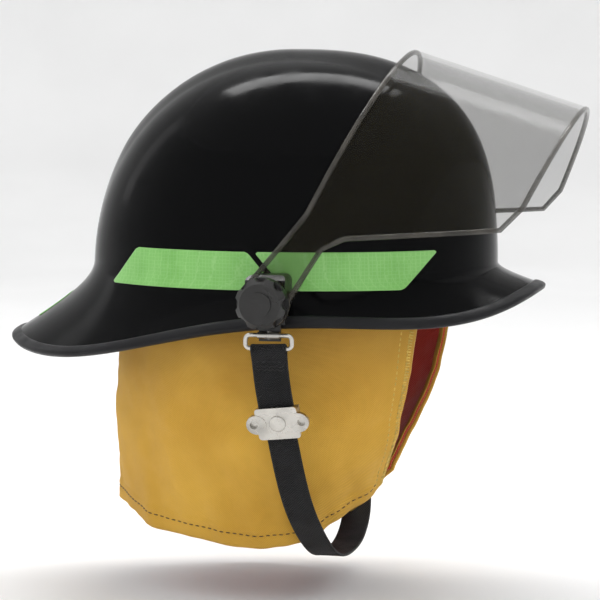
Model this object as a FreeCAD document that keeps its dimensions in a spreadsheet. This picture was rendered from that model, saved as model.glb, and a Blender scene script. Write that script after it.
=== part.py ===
import FreeCAD, Part
import math
import os
import Sketcher

# Firefighter helmet: shell with brim, raised faceshield, ear and neck cover, chin strap
# and the suspension inside.
#
# Frame: millimetres, +X towards the wearer's front, +Y towards the wearer's left, +Z up.
# The origin is the centre of the head opening, at the headband's lower edge.
# Right-hand pieces are drawn first and the left-hand ones are their mirror images in Y.

V = FreeCAD.Vector
UP = V(0, 0, 1)
FRONT = V(1, 0, 0)
LEFT = V(0, 1, 0)

SIZES = {
    # shell: the dome is an ellipsoid, its widest ring at dome_base
    "dome_half_length": 138, "dome_half_width": 108, "dome_rise": 146, "dome_base": 30,
    "nape_fullness": 2.05, "front_fullness": 2.65,
    "shell_wall": 3, "crest_rise": 4, "crest_half_width": 34,
    # brim outline and the height of its edge
    "brim_half_length": 183, "brim_shift": 14, "brim_half_width": 124,
    "edge_level": -0.75, "edge_tilt": 19, "edge_wave": 5.75,
    "flare_side_level": 23, "flare_front_rise": 11, "flare_start_angle": 3,
    "trim_lip": 1.3, "trim_gap": 0.1,
    # reflective trim on the dome
    "sticker_low": 26.5, "sticker_high": 51, "sticker_film": 0.8, "sticker_clear": 0.35,
    # liner and inner cap
    "liner_gap": 3.6, "liner_wall": 14, "cap_wall": 1.6, "cap_gap": 0.3,
    # headband, an ellipse about band_shift
    "band_half_length": 95, "band_half_width": 79, "band_shift": 3,
    "band_wall": 1.5, "band_tall": 30, "pad_wall": 5,
    "crown_strap_width": 19, "crown_strap_wall": 1.2, "crown_strap_top": 117,
    "crown_strap_foot": 36, "strap_key_half": 12,
    # ratchet at the nape: pinion with a rack above and a rack below
    "ratchet_level": 12, "ratchet_front": -92, "ratchet_back": -101,
    "housing_half_width": 27, "housing_half_tall": 14, "housing_skin": 1.6,
    "tooth_size": 1, "pinion_teeth": 10, "rack_wall": 2, "rack_plane": -97.2,
    "rack_reach": 34,
    "dial_radius": 17.5, "dial_back": -111.5,
    # faceshield pivot and its hardware, right side
    "pivot_x": 9, "pivot_z": 21, "bracket_face": 129.2, "bracket_back": 109.2, "bracket_top": 38,
    "bracket_width": 26, "stud_radius": 5.95, "stud_thread_radius": 4,
    "washer_radius": 12, "ear_radius": 17, "knob_radius": 16.5, "knob_inner": 133.9,
    "knob_outer": 146.5, "screw_radius": 2, "screw_spread": 8.5, "screw_level": 30,
    # faceshield, drawn lowered about the pivot and stored raised
    "shield_half_length": 173, "shield_half_width": 132, "shield_wall": 3,
    "shield_drop": 119, "shield_lean": 14.5, "shield_raised_angle": 65,
    # ear and neck cover
    "cover_outer_wall": 2, "cover_lining_wall": 1.4, "cover_gap": 0.35,
    # chin strap and its hangers
    "swivel_y": 132.2, "swivel_z": 0.5, "lug_wall": 0.7, "wire_radius": 1.4, "ring_half_width": 15,
    "ring_drop": 8.5, "strap_upper_width": 23, "strap_upper_wall": 3.2,
    "strap_lower_width": 20, "strap_lower_wall": 1.7,
    # hang ring under the rear brim
    "hang_x": -158, "hang_z": 2.2, "hang_hole_radius": 9, "hang_rim": 4, "hang_wall": 3,
    "hang_drop": 15.5, "plug_top": 11, "housing_foot": 21, "swivel_x": 12,
}

doc = FreeCAD.newDocument("helmet")
sheet = doc.addObject("Spreadsheet::Sheet", "dims")
for line, (alias, number) in enumerate(SIZES.items(), start=1):
    sheet.set("A%d" % line, alias)
    sheet.set("B%d" % line, str(number))
    sheet.setAlias("B%d" % line, alias)
doc.recompute()

NODES = []


def size(alias):
    """A driving dimension, read from the sheet."""
    return float(sheet.get(alias))


def value(formula):
    """The number that a formula over the sheet gives."""
    return float(sheet.evalExpression(formula))


def keep(piece, label):
    """Name a finished piece: its label becomes its file's name."""
    piece.Label = label
    NODES.append(piece)
    return piece


# ---------------------------------------------------------------- sketches and features

def new_body(name):
    return doc.addObject("PartDesign::Body", name + "_body")


def new_sketch(body, name, role, lift="0"):
    """Sketch on one of the body's own origin planes, lifted along the plane's normal."""
    sketch = body.newObject("Sketcher::SketchObject", name)
    plane = next(item for item in body.Origin.OriginFeatures if item.Role == role)
    sketch.AttachmentSupport = (plane, [""])
    sketch.MapMode = "FlatFace"
    sketch.setExpression(".AttachmentOffset.Base.z", lift)
    return sketch


def pin_point(sketch, geometry, vertex, spot):
    """Hold a sketch point at a pair of formulas measured from the sketch's origin."""
    for kind, formula in zip(("DistanceX", "DistanceY"), spot):
        rule = Sketcher.Constraint(kind, -1, 1, geometry, vertex, value(formula))
        index = sketch.addConstraint(rule)
        sketch.setExpression("Constraints[%d]" % index, formula)


def polygon(sketch, corners):
    """Closed outline through corners, each a pair of formulas over the sheet."""
    spots = [V(value(across), value(along), 0) for across, along in corners]
    count = len(spots)
    first = sketch.GeometryCount
    for i in range(count):
        sketch.addGeometry(Part.LineSegment(spots[i], spots[(i + 1) % count]), False)
    for i in range(count):
        following = first + (i + 1) % count
        sketch.addConstraint(Sketcher.Constraint("Coincident", first + i, 2, following, 1))
    for i in range(count):
        pin_point(sketch, first + i, 1, corners[i])


def rectangle(sketch, low, high):
    """Upright rectangle between two corners."""
    polygon(sketch, [low, (high[0], low[1]), high, (low[0], high[1])])


def circle(sketch, spot, radius):
    """Circle about a pair of formulas."""
    centre = V(value(spot[0]), value(spot[1]), 0)
    index = sketch.addGeometry(Part.Circle(centre, UP, value(radius)), False)
    pin_point(sketch, index, 3, spot)
    rule = sketch.addConstraint(Sketcher.Constraint("Radius", index, value(radius)))
    sketch.setExpression("Constraints[%d]" % rule, radius)


def pad(body, sketch, length, centred=False, backwards=False):
    feature = body.newObject("PartDesign::Pad", sketch.Name + "_pad")
    feature.Profile = sketch
    feature.setExpression("Length", length)
    feature.Midplane = centred
    feature.Reversed = backwards
    body.Tip = feature
    doc.recompute()
    return feature


def revolve(body, sketch, axis="V_Axis"):
    feature = body.newObject("PartDesign::Revolution", sketch.Name + "_turned")
    feature.Profile = sketch
    feature.ReferenceAxis = (sketch, [axis])
    feature.Angle = 360
    body.Tip = feature
    doc.recompute()
    return feature


def pocket(body, sketch, length, centred=False, backwards=False):
    """Cut the sketch's outline away, and make sure that something was cut."""
    before = body.Shape.Volume
    feature = body.newObject("PartDesign::Pocket", sketch.Name + "_cut")
    feature.Profile = sketch
    feature.setExpression("Length", length)
    feature.Midplane = centred
    feature.Reversed = backwards
    body.Tip = feature
    doc.recompute()
    if body.Shape.Volume > before - 0.01:
        raise RuntimeError(sketch.Name + " cuts nothing")
    return feature


def polar(body, feature, sketch, count):
    """Repeat a feature about its sketch's normal."""
    pattern = body.newObject("PartDesign::PolarPattern", feature.Name + "_ring")
    pattern.Originals = [feature]
    pattern.Axis = (sketch, ["N_Axis"])
    pattern.Angle = 360
    pattern.Occurrences = count
    body.Tip = pattern
    doc.recompute()
    return pattern


def soften(body, radius, wanted):
    """Round every edge that wanted() accepts."""
    base = body.Tip
    names = []
    for number, edge in enumerate(base.Shape.Edges, start=1):
        if wanted(edge):
            names.append("Edge%d" % number)
    feature = body.newObject("PartDesign::Fillet", base.Name + "_soft")
    feature.Base = (base, names)
    feature.Radius = radius
    body.Tip = feature
    doc.recompute()
    if feature.Shape.isNull():
        raise RuntimeError(base.Name + " can't be softened")
    return feature


def runs_along(axis):
    """Chooser for straight edges along an axis."""
    def wanted(edge):
        if not isinstance(edge.Curve, Part.Line):
            return False
        return abs(edge.Curve.Direction.dot(axis)) > 0.999
    return wanted


def lies_at(coordinate, level, reach=0.05):
    """Chooser for edges whose whole length lies at one level of x, y or z."""
    def wanted(edge):
        low = getattr(edge.BoundBox, coordinate.upper() + "Min")
        high = getattr(edge.BoundBox, coordinate.upper() + "Max")
        return abs(low - level) < reach and abs(high - level) < reach
    return wanted


def mirrored(source, label):
    """Left-hand twin of a right-hand piece."""
    twin = doc.addObject("Part::Mirroring", label + "_twin")
    twin.Source = source
    twin.Normal = LEFT
    return keep(twin, label)


def pair(source, stem):
    """Keep a right-hand piece and its left-hand twin."""
    keep(source, stem + "_right")
    return mirrored(source, stem + "_left")


# ---------------------------------------------------------------- Part primitives

def primitive(kind, name, base=None, turn=None, **formulas):
    """Part primitive with its sizes bound to formulas."""
    item = doc.addObject("Part::" + kind, name)
    for prop, formula in formulas.items():
        item.setExpression(prop, formula)
    if base:
        for axis, formula in zip("xyz", base):
            item.setExpression(".Placement.Base." + axis, formula)
    if turn:
        item.Placement.Rotation = turn
    return item


def combine(kind, name, first, second):
    """Part::Cut, Part::Common or Part::Fuse of two objects."""
    item = doc.addObject("Part::" + kind, name)
    item.Base = first
    item.Tool = second
    return item


def free_piece(name, shape):
    """Part::Feature that is not yet a node."""
    if shape.Volume < 0:
        shape.reverse()
    item = doc.addObject("Part::Feature", name + "_shape")
    item.Shape = shape
    return item


def free_shape(label, shape):
    """Node whose shape comes from Part's own functions."""
    return keep(free_piece(label, shape), label)


# ---------------------------------------------------------------- solids from curves

def solid_from(faces):
    shell = Part.makeShell(faces)
    shell.sewShape()
    solid = Part.Solid(shell)
    if solid.Volume < 0:
        solid.reverse()
    return solid


def closed_curve(points):
    curve = Part.BSplineCurve()
    steps = [i / len(points) for i in range(len(points) + 1)]
    curve.interpolate(Points=points, PeriodicFlag=True, Parameters=steps)
    return curve


def open_curve(points):
    curve = Part.BSplineCurve()
    curve.interpolate(Points=points)
    return curve


def closed_surface(rows, levels):
    """Surface through closed rows of points, from a crown point down to the last row."""
    poles = []
    for points in rows:
        if max((point - points[0]).Length for point in points) < 1e-9:
            poles.append(None)
            continue
        curve = closed_curve(points)
        around = (curve.getKnots(), curve.getMultiplicities(), curve.Degree)
        poles.append(curve.getPoles())
    count = len(poles[-1])
    poles = [row or [rows[i][0]] * count for i, row in enumerate(poles)]
    net = []
    for j in range(count):
        curve = Part.BSplineCurve()
        curve.interpolate(Points=[row[j] for row in poles], Parameters=levels)
        net.append(curve.getPoles())
        down = (curve.getKnots(), curve.getMultiplicities(), curve.Degree)
    surface = Part.BSplineSurface()
    surface.buildFromPolesMultsKnots(net, around[1], down[1], around[0], down[0],
                                     True, False, around[2], down[2])
    return surface


def rim(face):
    """The open edge of a crowned surface."""
    loops = [edge for edge in face.Edges if edge.isClosed() and not edge.Degenerated]
    return max(loops, key=lambda edge: edge.Length)


def ring_solid(rails):
    """Solid ring whose section has one corner on each closed rail."""
    edges = [closed_curve(points).toShape() for points in rails]
    count = len(edges)
    faces = [Part.makeRuledSurface(edges[i], edges[(i + 1) % count]) for i in range(count)]
    return solid_from(faces)


def ribbon_solid(rails):
    """Solid with a four-cornered section, one corner on each open rail."""
    edges = [open_curve(points).toShape() for points in rails]
    faces = [Part.makeRuledSurface(edges[i], edges[(i + 1) % 4]) for i in range(4)]
    for end in (0, -1):
        corners = [points[end] for points in rails]
        first = Part.makeLine(corners[0], corners[1])
        second = Part.makeLine(corners[3], corners[2])
        faces.append(Part.makeRuledSurface(first, second))
    return solid_from(faces)


def grid_surface(grid):
    surface = Part.BSplineSurface()
    surface.interpolate(grid)
    return surface


def sheet_solid(outer, inner):
    """Solid between two grids of points that have the same layout."""
    surfaces = [grid_surface(outer), grid_surface(inner)]
    faces = [surface.toShape() for surface in surfaces]
    borders = []
    for surface in surfaces:
        first_u, last_u, first_v, last_v = surface.bounds()
        borders.append([surface.uIso(first_u), surface.uIso(last_u),
                        surface.vIso(first_v), surface.vIso(last_v)])
    for one, other in zip(*borders):
        faces.append(Part.makeRuledSurface(one.toShape(), other.toShape()))
    return solid_from(faces)


# ---------------------------------------------------------------- shell surface

def smooth_step(share):
    share = min(1.0, max(0.0, share))
    return share * share * (3 - 2 * share)


def dome_point(turn, climb):
    """Point on the dome: turn is about Z from the front, climb above the widest ring.

    An upright section is a superellipse, fuller at the front than at the nape.
    """
    ahead = (1 + math.cos(turn)) / 2
    power = size("nape_fullness") + (size("front_fullness") - size("nape_fullness")) * ahead
    level = max(0.0, math.cos(climb))
    scale = (level ** power + math.sin(climb) ** power) ** (-1 / power)
    x = size("dome_half_length") * level * scale * math.cos(turn)
    y = size("dome_half_width") * level * scale * math.sin(turn)
    z = size("dome_rise") * math.sin(climb) * scale
    point = V(x, y, z)
    share = min(1.0, abs(y) / size("crest_half_width"))
    fade = smooth_step((math.degrees(climb) - 8) / 35)
    rise = size("crest_rise") * (1 - share ** 2) ** 2 * fade
    point = point * (1 + rise / point.Length)
    return point + V(0, 0, size("dome_base"))


def brim_edge(turn):
    """Point on the brim's edge."""
    ahead = math.cos(turn)
    x = size("brim_half_length") * ahead - size("brim_shift") * ahead ** 2
    y = size("brim_half_width") * math.sin(turn)
    wave = size("edge_wave") * math.cos(4 * turn)
    return V(x, y, size("edge_level") + size("edge_tilt") * ahead + wave)


def flare_point(turn, share):
    """Point on the curve from the dome's foot (share 0) out to the brim's edge (share 1)."""
    start = dome_point(turn, math.radians(size("flare_start_angle")))
    ahead = max(0.0, math.cos(turn))
    bend = V(start.x, start.y, size("flare_side_level") + size("flare_front_rise") * ahead ** 2)
    end = brim_edge(turn)
    ramp = bend + (end - bend) * 0.45
    rest = 1 - share
    return (start * rest ** 3 + bend * (3 * rest ** 2 * share)
            + ramp * (3 * rest * share ** 2) + end * share ** 3)


def shell_point(turn, down):
    """Outer surface: down runs 0 to 1 over the dome and 1 to 2 over the brim."""
    if down > 1:
        return flare_point(turn, down - 1)
    start = math.radians(size("flare_start_angle"))
    return dome_point(turn, math.pi / 2 + (start - math.pi / 2) * down)


def shell_normal(turn, down):
    step = 1e-4
    if down < 0.01:
        return V(0, 0, 1)
    lower = min(down + step, 2.0)
    across = shell_point(turn + step, down) - shell_point(turn - step, down)
    along = shell_point(turn, lower) - shell_point(turn, lower - 2 * step)
    normal = across.cross(along) * -1
    return normal.normalize()


def raised(turn, down, lift):
    """Point at a distance from the outer surface; a negative lift is inside the wall."""
    return shell_point(turn, down) + shell_normal(turn, down) * lift


AROUND = [2 * math.pi * i / 72 for i in range(72)]
DOWNS = [0, 0.08, 0.17, 0.27, 0.38, 0.5, 0.62, 0.74, 0.84, 0.93, 1, 1.15, 1.3, 1.45, 1.6, 1.8, 2]


def shell_face(lift):
    rows = [[raised(turn, down, lift) for turn in AROUND] for down in DOWNS]
    return closed_surface(rows, [down / 2 for down in DOWNS]).toShape()


def hole_along_y(x, z, radius, low, high):
    return Part.makeCylinder(radius, high - low, V(x, low, z), LEFT)


def make_outer_shell():
    outside = shell_face(0)
    inside = shell_face(-size("shell_wall"))
    edge = Part.makeRuledSurface(rim(outside), rim(inside))
    shell = solid_from([outside, inside, edge])
    for side in (-1, 1):
        for along in (-1, 1):
            x = size("pivot_x") + along * size("screw_spread")
            low, high = sorted((side * 95, side * 118))
            shell = shell.cut(hole_along_y(x, size("screw_level"),
                                           size("screw_radius") + 0.1, low, high))
    free_shape("outer_shell", shell.Solids[0])


def make_brim_trim():
    """Channel pushed over the brim's edge."""
    gap = size("trim_gap")
    lip = size("trim_lip")
    wall = size("shell_wall")
    root = 1.86

    def rail(down, outward, lift):
        points = []
        for turn in AROUND:
            ray = shell_point(turn, 2) - shell_point(turn, 1.95)
            points.append(raised(turn, down, lift) + ray.normalize() * outward)
        return points

    rails = [rail(root, 0, gap), rail(2, gap, gap), rail(2, gap, -wall - gap),
             rail(root, 0, -wall - gap), rail(root, 0, -wall - gap - lip),
             rail(2, lip * 0.6, -wall - gap - lip), rail(2, lip + gap + 0.6, -wall / 2),
             rail(2, lip * 0.6, gap + lip), rail(root, 0, gap + lip)]
    free_shape("brim_edge_trim", ring_solid(rails))


# ---------------------------------------------------------------- reflective trim

def find_on_side(x, z):
    """Turn and down of the outer surface's point at x and z on the right-hand side."""
    turn = -math.acos(max(-0.99, min(0.99, x / (size("dome_half_length") + 2))))
    down = 0.95
    for _ in range(12):
        step = 1e-4
        here = shell_point(turn, down)
        by_turn = (shell_point(turn + step, down) - here) * (1 / step)
        by_down = (shell_point(turn, down + step) - here) * (1 / step)
        short_x = x - here.x
        short_z = z - here.z
        scale = by_turn.x * by_down.z - by_down.x * by_turn.z
        turn += (short_x * by_down.z - by_down.x * short_z) / scale
        down += (by_turn.x * short_z - short_x * by_turn.z) / scale
        down = min(1.9, max(0.5, down))
    return turn, down


def side_sticker(low_ends, high_ends, columns=25, rows=9):
    """Film on the dome's side, between x ends given for its lower and upper edges."""
    outer = []
    inner = []
    for i in range(columns):
        share = i / (columns - 1)
        low_x = low_ends[0] + (low_ends[1] - low_ends[0]) * share
        high_x = high_ends[0] + (high_ends[1] - high_ends[0]) * share
        spots = []
        for j in range(rows):
            climb = j / (rows - 1)
            z = size("sticker_low") + (size("sticker_high") - size("sticker_low")) * climb
            spots.append(find_on_side(low_x + (high_x - low_x) * climb, z))
        outer.append([raised(turn, down, size("sticker_film")) for turn, down in spots])
        inner.append([raised(turn, down, size("sticker_clear")) for turn, down in spots])
    room = size("bracket_width") / 2 + 0.5
    bracket = Part.makeBox(2 * room, 60, size("bracket_top") + 0.5,
                           V(size("pivot_x") - room, -150, 0))
    pieces = sheet_solid(outer, inner).cut(bracket).Solids
    return max(pieces, key=lambda piece: piece.Volume)


def make_reflective_trim():
    rear = side_sticker((-108, 13), (-87.5, -8))
    front = side_sticker((18, 90), (-3, 109))
    mirrored(free_shape("reflective_rear_right", rear), "reflective_rear_left")
    mirrored(free_shape("reflective_front_right", front), "reflective_front_left")
    turns = [math.pi + math.radians(9) * (i / 3 - 1) for i in range(7)]
    downs = [1.5, 1.6, 1.7, 1.8]
    outer = [[raised(turn, down, size("sticker_film")) for down in downs] for turn in turns]
    inner = [[raised(turn, down, size("sticker_clear")) for down in downs] for turn in turns]
    free_shape("reflective_nape", sheet_solid(outer, inner))


# ---------------------------------------------------------------- liner and inner cap

def half_ellipsoid(name, inset, low_angle):
    """Upper part of an ellipsoid set in from the dome by a formula."""
    item = primitive("Ellipsoid", name, base=("0", "0", "dims.dome_base"),
                     Radius1="dims.dome_rise - " + inset,
                     Radius2="dims.dome_half_length - " + inset,
                     Radius3="dims.dome_half_width - " + inset)
    item.Angle1 = low_angle
    return item


def make_liner():
    outer = half_ellipsoid("liner_outer", "dims.liner_gap", -3)
    inner = half_ellipsoid("liner_inner", "(dims.liner_gap + dims.liner_wall)", -8)
    liner = combine("Cut", "liner_bowl", outer, inner)
    for side in (-1, 1):
        for along in (-1, 1):
            well = primitive("Cylinder", "nut_well_%d_%d" % (side + 1, along + 1),
                             base=("dims.pivot_x + %d * dims.screw_spread" % along,
                                   "%d * 98" % side, "dims.screw_level"),
                             turn=FreeCAD.Rotation(FRONT, -90 * side),
                             Radius="5.2", Height="12")
            liner = combine("Cut", "liner_well_%d_%d" % (side + 1, along + 1), liner, well)
    keep(liner, "impact_foam_liner")
    outer = half_ellipsoid("cap_outer", "(dims.liner_gap + dims.liner_wall + dims.cap_gap)", -2)
    inner = half_ellipsoid(
        "cap_inner", "(dims.liner_gap + dims.liner_wall + dims.cap_gap + dims.cap_wall)", -8)
    keep(combine("Cut", "cap_bowl", outer, inner), "inner_cap")


# ---------------------------------------------------------------- suspension

def elliptic_band(name, major, minor, wall, tall, middle, level):
    """Upright band on an ellipse, bound to formulas: major along X, minor along Y."""
    loops = []
    for part, inset in (("out", "0"), ("in", wall)):
        ellipse = doc.addObject("Part::Ellipse", "%s_%s" % (name, part))
        ellipse.setExpression("MajorRadius", "%s - %s" % (major, inset))
        ellipse.setExpression("MinorRadius", "%s - %s" % (minor, inset))
        ellipse.setExpression(".Placement.Base.x", middle)
        ellipse.setExpression(".Placement.Base.z", level)
        block = doc.addObject("Part::Extrusion", "%s_%s_block" % (name, part))
        block.Base = ellipse
        block.DirMode = "Custom"
        block.Dir = UP
        block.Solid = True
        block.setExpression("LengthFwd", tall)
        loops.append(block)
    return combine("Cut", name + "_band", loops[0], loops[1])


def box(name, low, high):
    """Box between two corners given as formulas."""
    spans = ["(%s) - (%s)" % (top, bottom) for bottom, top in zip(low, high)]
    return primitive("Box", name, base=low, Length=spans[0], Width=spans[1], Height=spans[2])


def make_headband():
    band = elliptic_band("headband", "dims.band_half_length", "dims.band_half_width",
                         "dims.band_wall", "dims.band_tall", "dims.band_shift", "0")
    gap = box("headband_gap", ("-110", "-33", "-5"), ("-60", "33", "40"))
    keep(combine("Cut", "headband_open", band, gap), "headband")


def make_brow_pad():
    band = elliptic_band("brow", "dims.band_half_length - dims.band_wall - 0.3",
                         "dims.band_half_width - dims.band_wall - 0.3", "dims.pad_wall",
                         "dims.band_tall + 4", "dims.band_shift", "-3")
    front = box("brow_front", ("28", "-90", "-10"), ("110", "90", "45"))
    keep(combine("Common", "brow_arc", band, front), "brow_pad")


def make_nape_pad():
    """Pad between the headband's rear ends, in front of the ratchet."""
    body = new_body("nape_pad")
    outline = new_sketch(body, "nape_outline", "YZ_Plane", "dims.ratchet_front + 0.5")
    rectangle(outline, ("-30", "-4"), ("30", "28"))
    pad(body, outline, "5")
    soften(body, 2.2, lambda edge: True)
    keep(body, "nape_pad")


STRAP_TURNS = {"crown_strap_across": 90, "crown_strap_right": 35, "crown_strap_left": -35}


def crown_strap_reach(turn_degrees):
    """Furthest that a strap's flat foot stands out at a turn about Z, inside the inner cap."""
    inset = (size("liner_gap") + size("liner_wall") + size("cap_gap") + size("cap_wall") + 2.4)
    long_side = size("dome_half_length") - inset
    short_side = size("dome_half_width") - inset
    turn = math.radians(turn_degrees)
    reach = long_side
    while True:
        corners = [(reach * math.cos(turn) - side * math.sin(turn),
                    reach * math.sin(turn) + side * math.cos(turn))
                   for side in (-size("strap_key_half"), size("strap_key_half"))]
        if all(math.hypot(x / long_side, y / short_side) < 1 for x, y in corners):
            return reach
        reach -= 0.05


def make_crown_straps():
    """Three straps over the head, each laid just above the one before."""
    wall = size("crown_strap_wall")
    width = size("crown_strap_width")
    foot = size("crown_strap_foot")
    for level, (label, turn) in enumerate(STRAP_TURNS.items()):
        reach = crown_strap_reach(turn)
        rise = size("crown_strap_top") - foot + level * (wall + 0.3)
        arcs = []
        for grow in (0, wall):
            major = V(reach + grow, 0, foot)
            top = V(0, 0, foot + rise + grow)
            ellipse = Part.Ellipse(max((major, top), key=lambda p: (p - V(0, 0, foot)).Length),
                                   min((major, top), key=lambda p: (p - V(0, 0, foot)).Length),
                                   V(0, 0, foot))
            face = Part.Face(Part.Wire(ellipse.toShape()))
            arcs.append(face.extrude(LEFT * width))
        band = arcs[1].cut(arcs[0])
        span = reach + wall + 5
        band = band.common(Part.makeBox(2 * span, 2 * width, rise + 20, V(-span, -width, foot)))
        band.translate(V(0, -width / 2, 0))
        band.rotate(V(0, 0, 0), UP, turn)
        free_shape(label, band.Solids[0])


def make_strap_keys():
    """Keys that hold the crown straps' feet to the inner cap."""
    keys = []
    for label, turn in STRAP_TURNS.items():
        for half in (0, 180):
            half_wide = size("strap_key_half")
            inside = crown_strap_reach(turn) - 2.2
            key = Part.makeBox(1.6, 2 * half_wide, 15, V(inside, -half_wide, 30))
            key.rotate(V(0, 0, 0), UP, turn + half)
            keys.append(key)
    free_shape("crown_strap_keys", Part.makeCompound(keys))


def make_crown_pad():
    body = new_body("crown_pad")
    outline = new_sketch(body, "crown_pad_outline", "XY_Plane", "dims.crown_strap_top - 14.5")
    circle(outline, ("0", "0"), "32")
    pad(body, outline, "6")
    soften(body, 2.6, lambda edge: True)
    keep(body, "crown_pad")


def make_band_hangers():
    """Four tabs that hang the headband from the inner cap."""
    tabs = []
    for turn in (50, 130, 230, 310):
        angle = math.radians(turn)
        x = size("band_shift") + size("band_half_length") * math.cos(angle)
        y = size("band_half_width") * math.sin(angle)
        tab = Part.makeBox(1.4, 16, 34, V(0.4, -8, 14))
        lean = math.degrees(math.atan2(math.sin(angle) / size("band_half_width"),
                                       math.cos(angle) / size("band_half_length")))
        tab.rotate(V(0, 0, 0), UP, lean)
        tab.translate(V(x, y, 0))
        tabs.append(tab)
    free_shape("headband_hangers", Part.makeCompound(tabs))


# ---------------------------------------------------------------- ratchet at the nape

def make_ratchet_housing():
    body = new_body("ratchet_housing")
    outline = new_sketch(body, "housing_outline", "YZ_Plane", "dims.ratchet_back")
    half = "dims.housing_half_tall"
    rectangle(outline, ("-dims.housing_half_width", "dims.ratchet_level - " + half),
              ("dims.housing_half_width", "dims.ratchet_level + " + half))
    pad(body, outline, "dims.ratchet_front - dims.ratchet_back - dims.housing_skin - 0.2")
    soften(body, 5, runs_along(FRONT))
    room = new_sketch(body, "housing_room", "YZ_Plane", "dims.ratchet_front - dims.housing_skin")
    rectangle(room, ("-40", "dims.ratchet_level - 10"), ("40", "dims.ratchet_level + 10"))
    pocket(body, room, "dims.ratchet_front - dims.ratchet_back - 2 * dims.housing_skin")
    bore = new_sketch(body, "housing_bore", "YZ_Plane", "dims.ratchet_front")
    circle(bore, ("0", "dims.ratchet_level"), "3.55")
    pocket(body, bore, "30")
    keep(body, "ratchet_housing")


def make_ratchet_plate():
    """Plate that closes the housing towards the head."""
    body = new_body("ratchet_plate")
    outline = new_sketch(body, "plate_outline", "YZ_Plane",
                         "dims.ratchet_front - dims.housing_skin")
    half = "dims.housing_half_tall"
    rectangle(outline, ("-dims.housing_half_width", "dims.ratchet_level - " + half),
              ("dims.housing_half_width", "dims.ratchet_level + " + half))
    pad(body, outline, "dims.housing_skin")
    soften(body, 5, runs_along(FRONT))
    keep(body, "ratchet_plate")


def make_dial():
    """Knurled dial with a hub that carries the pinion."""
    body = new_body("ratchet_dial")
    disc = new_sketch(body, "dial_disc", "YZ_Plane", "dims.dial_back")
    circle(disc, ("0", "dims.ratchet_level"), "dims.dial_radius")
    pad(body, disc, "dims.ratchet_back - dims.dial_back - 0.4")
    soften(body, 2.5, lies_at("x", size("dial_back")))
    notch = new_sketch(body, "dial_notch", "YZ_Plane", "dims.dial_back")
    notch.setExpression(".AttachmentOffset.Base.y", "dims.ratchet_level")
    circle(notch, ("dims.dial_radius + 0.6", "0"), "1.6")
    cut = pocket(body, notch, "8", backwards=True)
    polar(body, cut, notch, 24)
    hub = new_sketch(body, "dial_hub", "YZ_Plane", "dims.ratchet_back - 0.4")
    circle(hub, ("0", "dims.ratchet_level"), "3.5")
    pad(body, hub, "2")
    keep(body, "ratchet_dial")


def tooth_outline(centre_turn, root, tip, root_half, tip_half):
    """Four corners of one pinion tooth."""
    corners = []
    for radius, half in ((root, -root_half), (tip, -tip_half), (tip, tip_half), (root, root_half)):
        turn = centre_turn + half / radius
        corners.append(V(0, radius * math.sin(turn), radius * math.cos(turn)))
    return corners


def make_pinion():
    """Pinion on the dial's hub, with one tooth pointing straight up at rest."""
    module = size("tooth_size")
    teeth = int(size("pinion_teeth"))
    pitch_radius = module * teeth / 2
    points = []
    for i in range(teeth):
        points += tooth_outline(2 * math.pi * i / teeth, pitch_radius - 1.2 * module,
                                pitch_radius + 0.75 * module, 0.85 * module, 0.3 * module)
    face = Part.Face(Part.makePolygon(points + points[:1]))
    gear = face.extrude(V(4, 0, 0))
    gear.translate(V(size("ratchet_back") + 1.8, 0, size("ratchet_level")))
    free_shape("ratchet_pinion", gear)


def rack_shape():
    """Rack above the pinion, running out to the left, teeth down, a gap over the top tooth."""
    module = size("tooth_size")
    pitch = math.pi * module
    line = size("ratchet_level") + module * size("pinion_teeth") / 2
    points = []
    for i in range(-4, 9):
        middle = (i + 0.5) * pitch
        points += [V(0, middle - 0.85 * module, line + 1.1 * module),
                   V(0, middle - 0.3 * module, line - 0.65 * module),
                   V(0, middle + 0.3 * module, line - 0.65 * module),
                   V(0, middle + 0.85 * module, line + 1.1 * module)]
    far = size("rack_reach")
    points += [V(0, far, line + 1.1 * module), V(0, far, line + 4.2), V(0, points[0].y, line + 4.2)]
    face = Part.Face(Part.makePolygon(points + points[:1]))
    rack = face.extrude(V(size("rack_wall"), 0, 0))
    rack.translate(V(size("rack_plane"), 0, 0))
    return rack


def make_racks():
    left = rack_shape()
    free_shape("rack_left", left)
    right = left.copy()
    right.rotate(V(size("rack_plane"), 0, size("ratchet_level")), FRONT, 180)
    free_shape("rack_right", right)


# ---------------------------------------------------------------- faceshield and pivots

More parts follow.
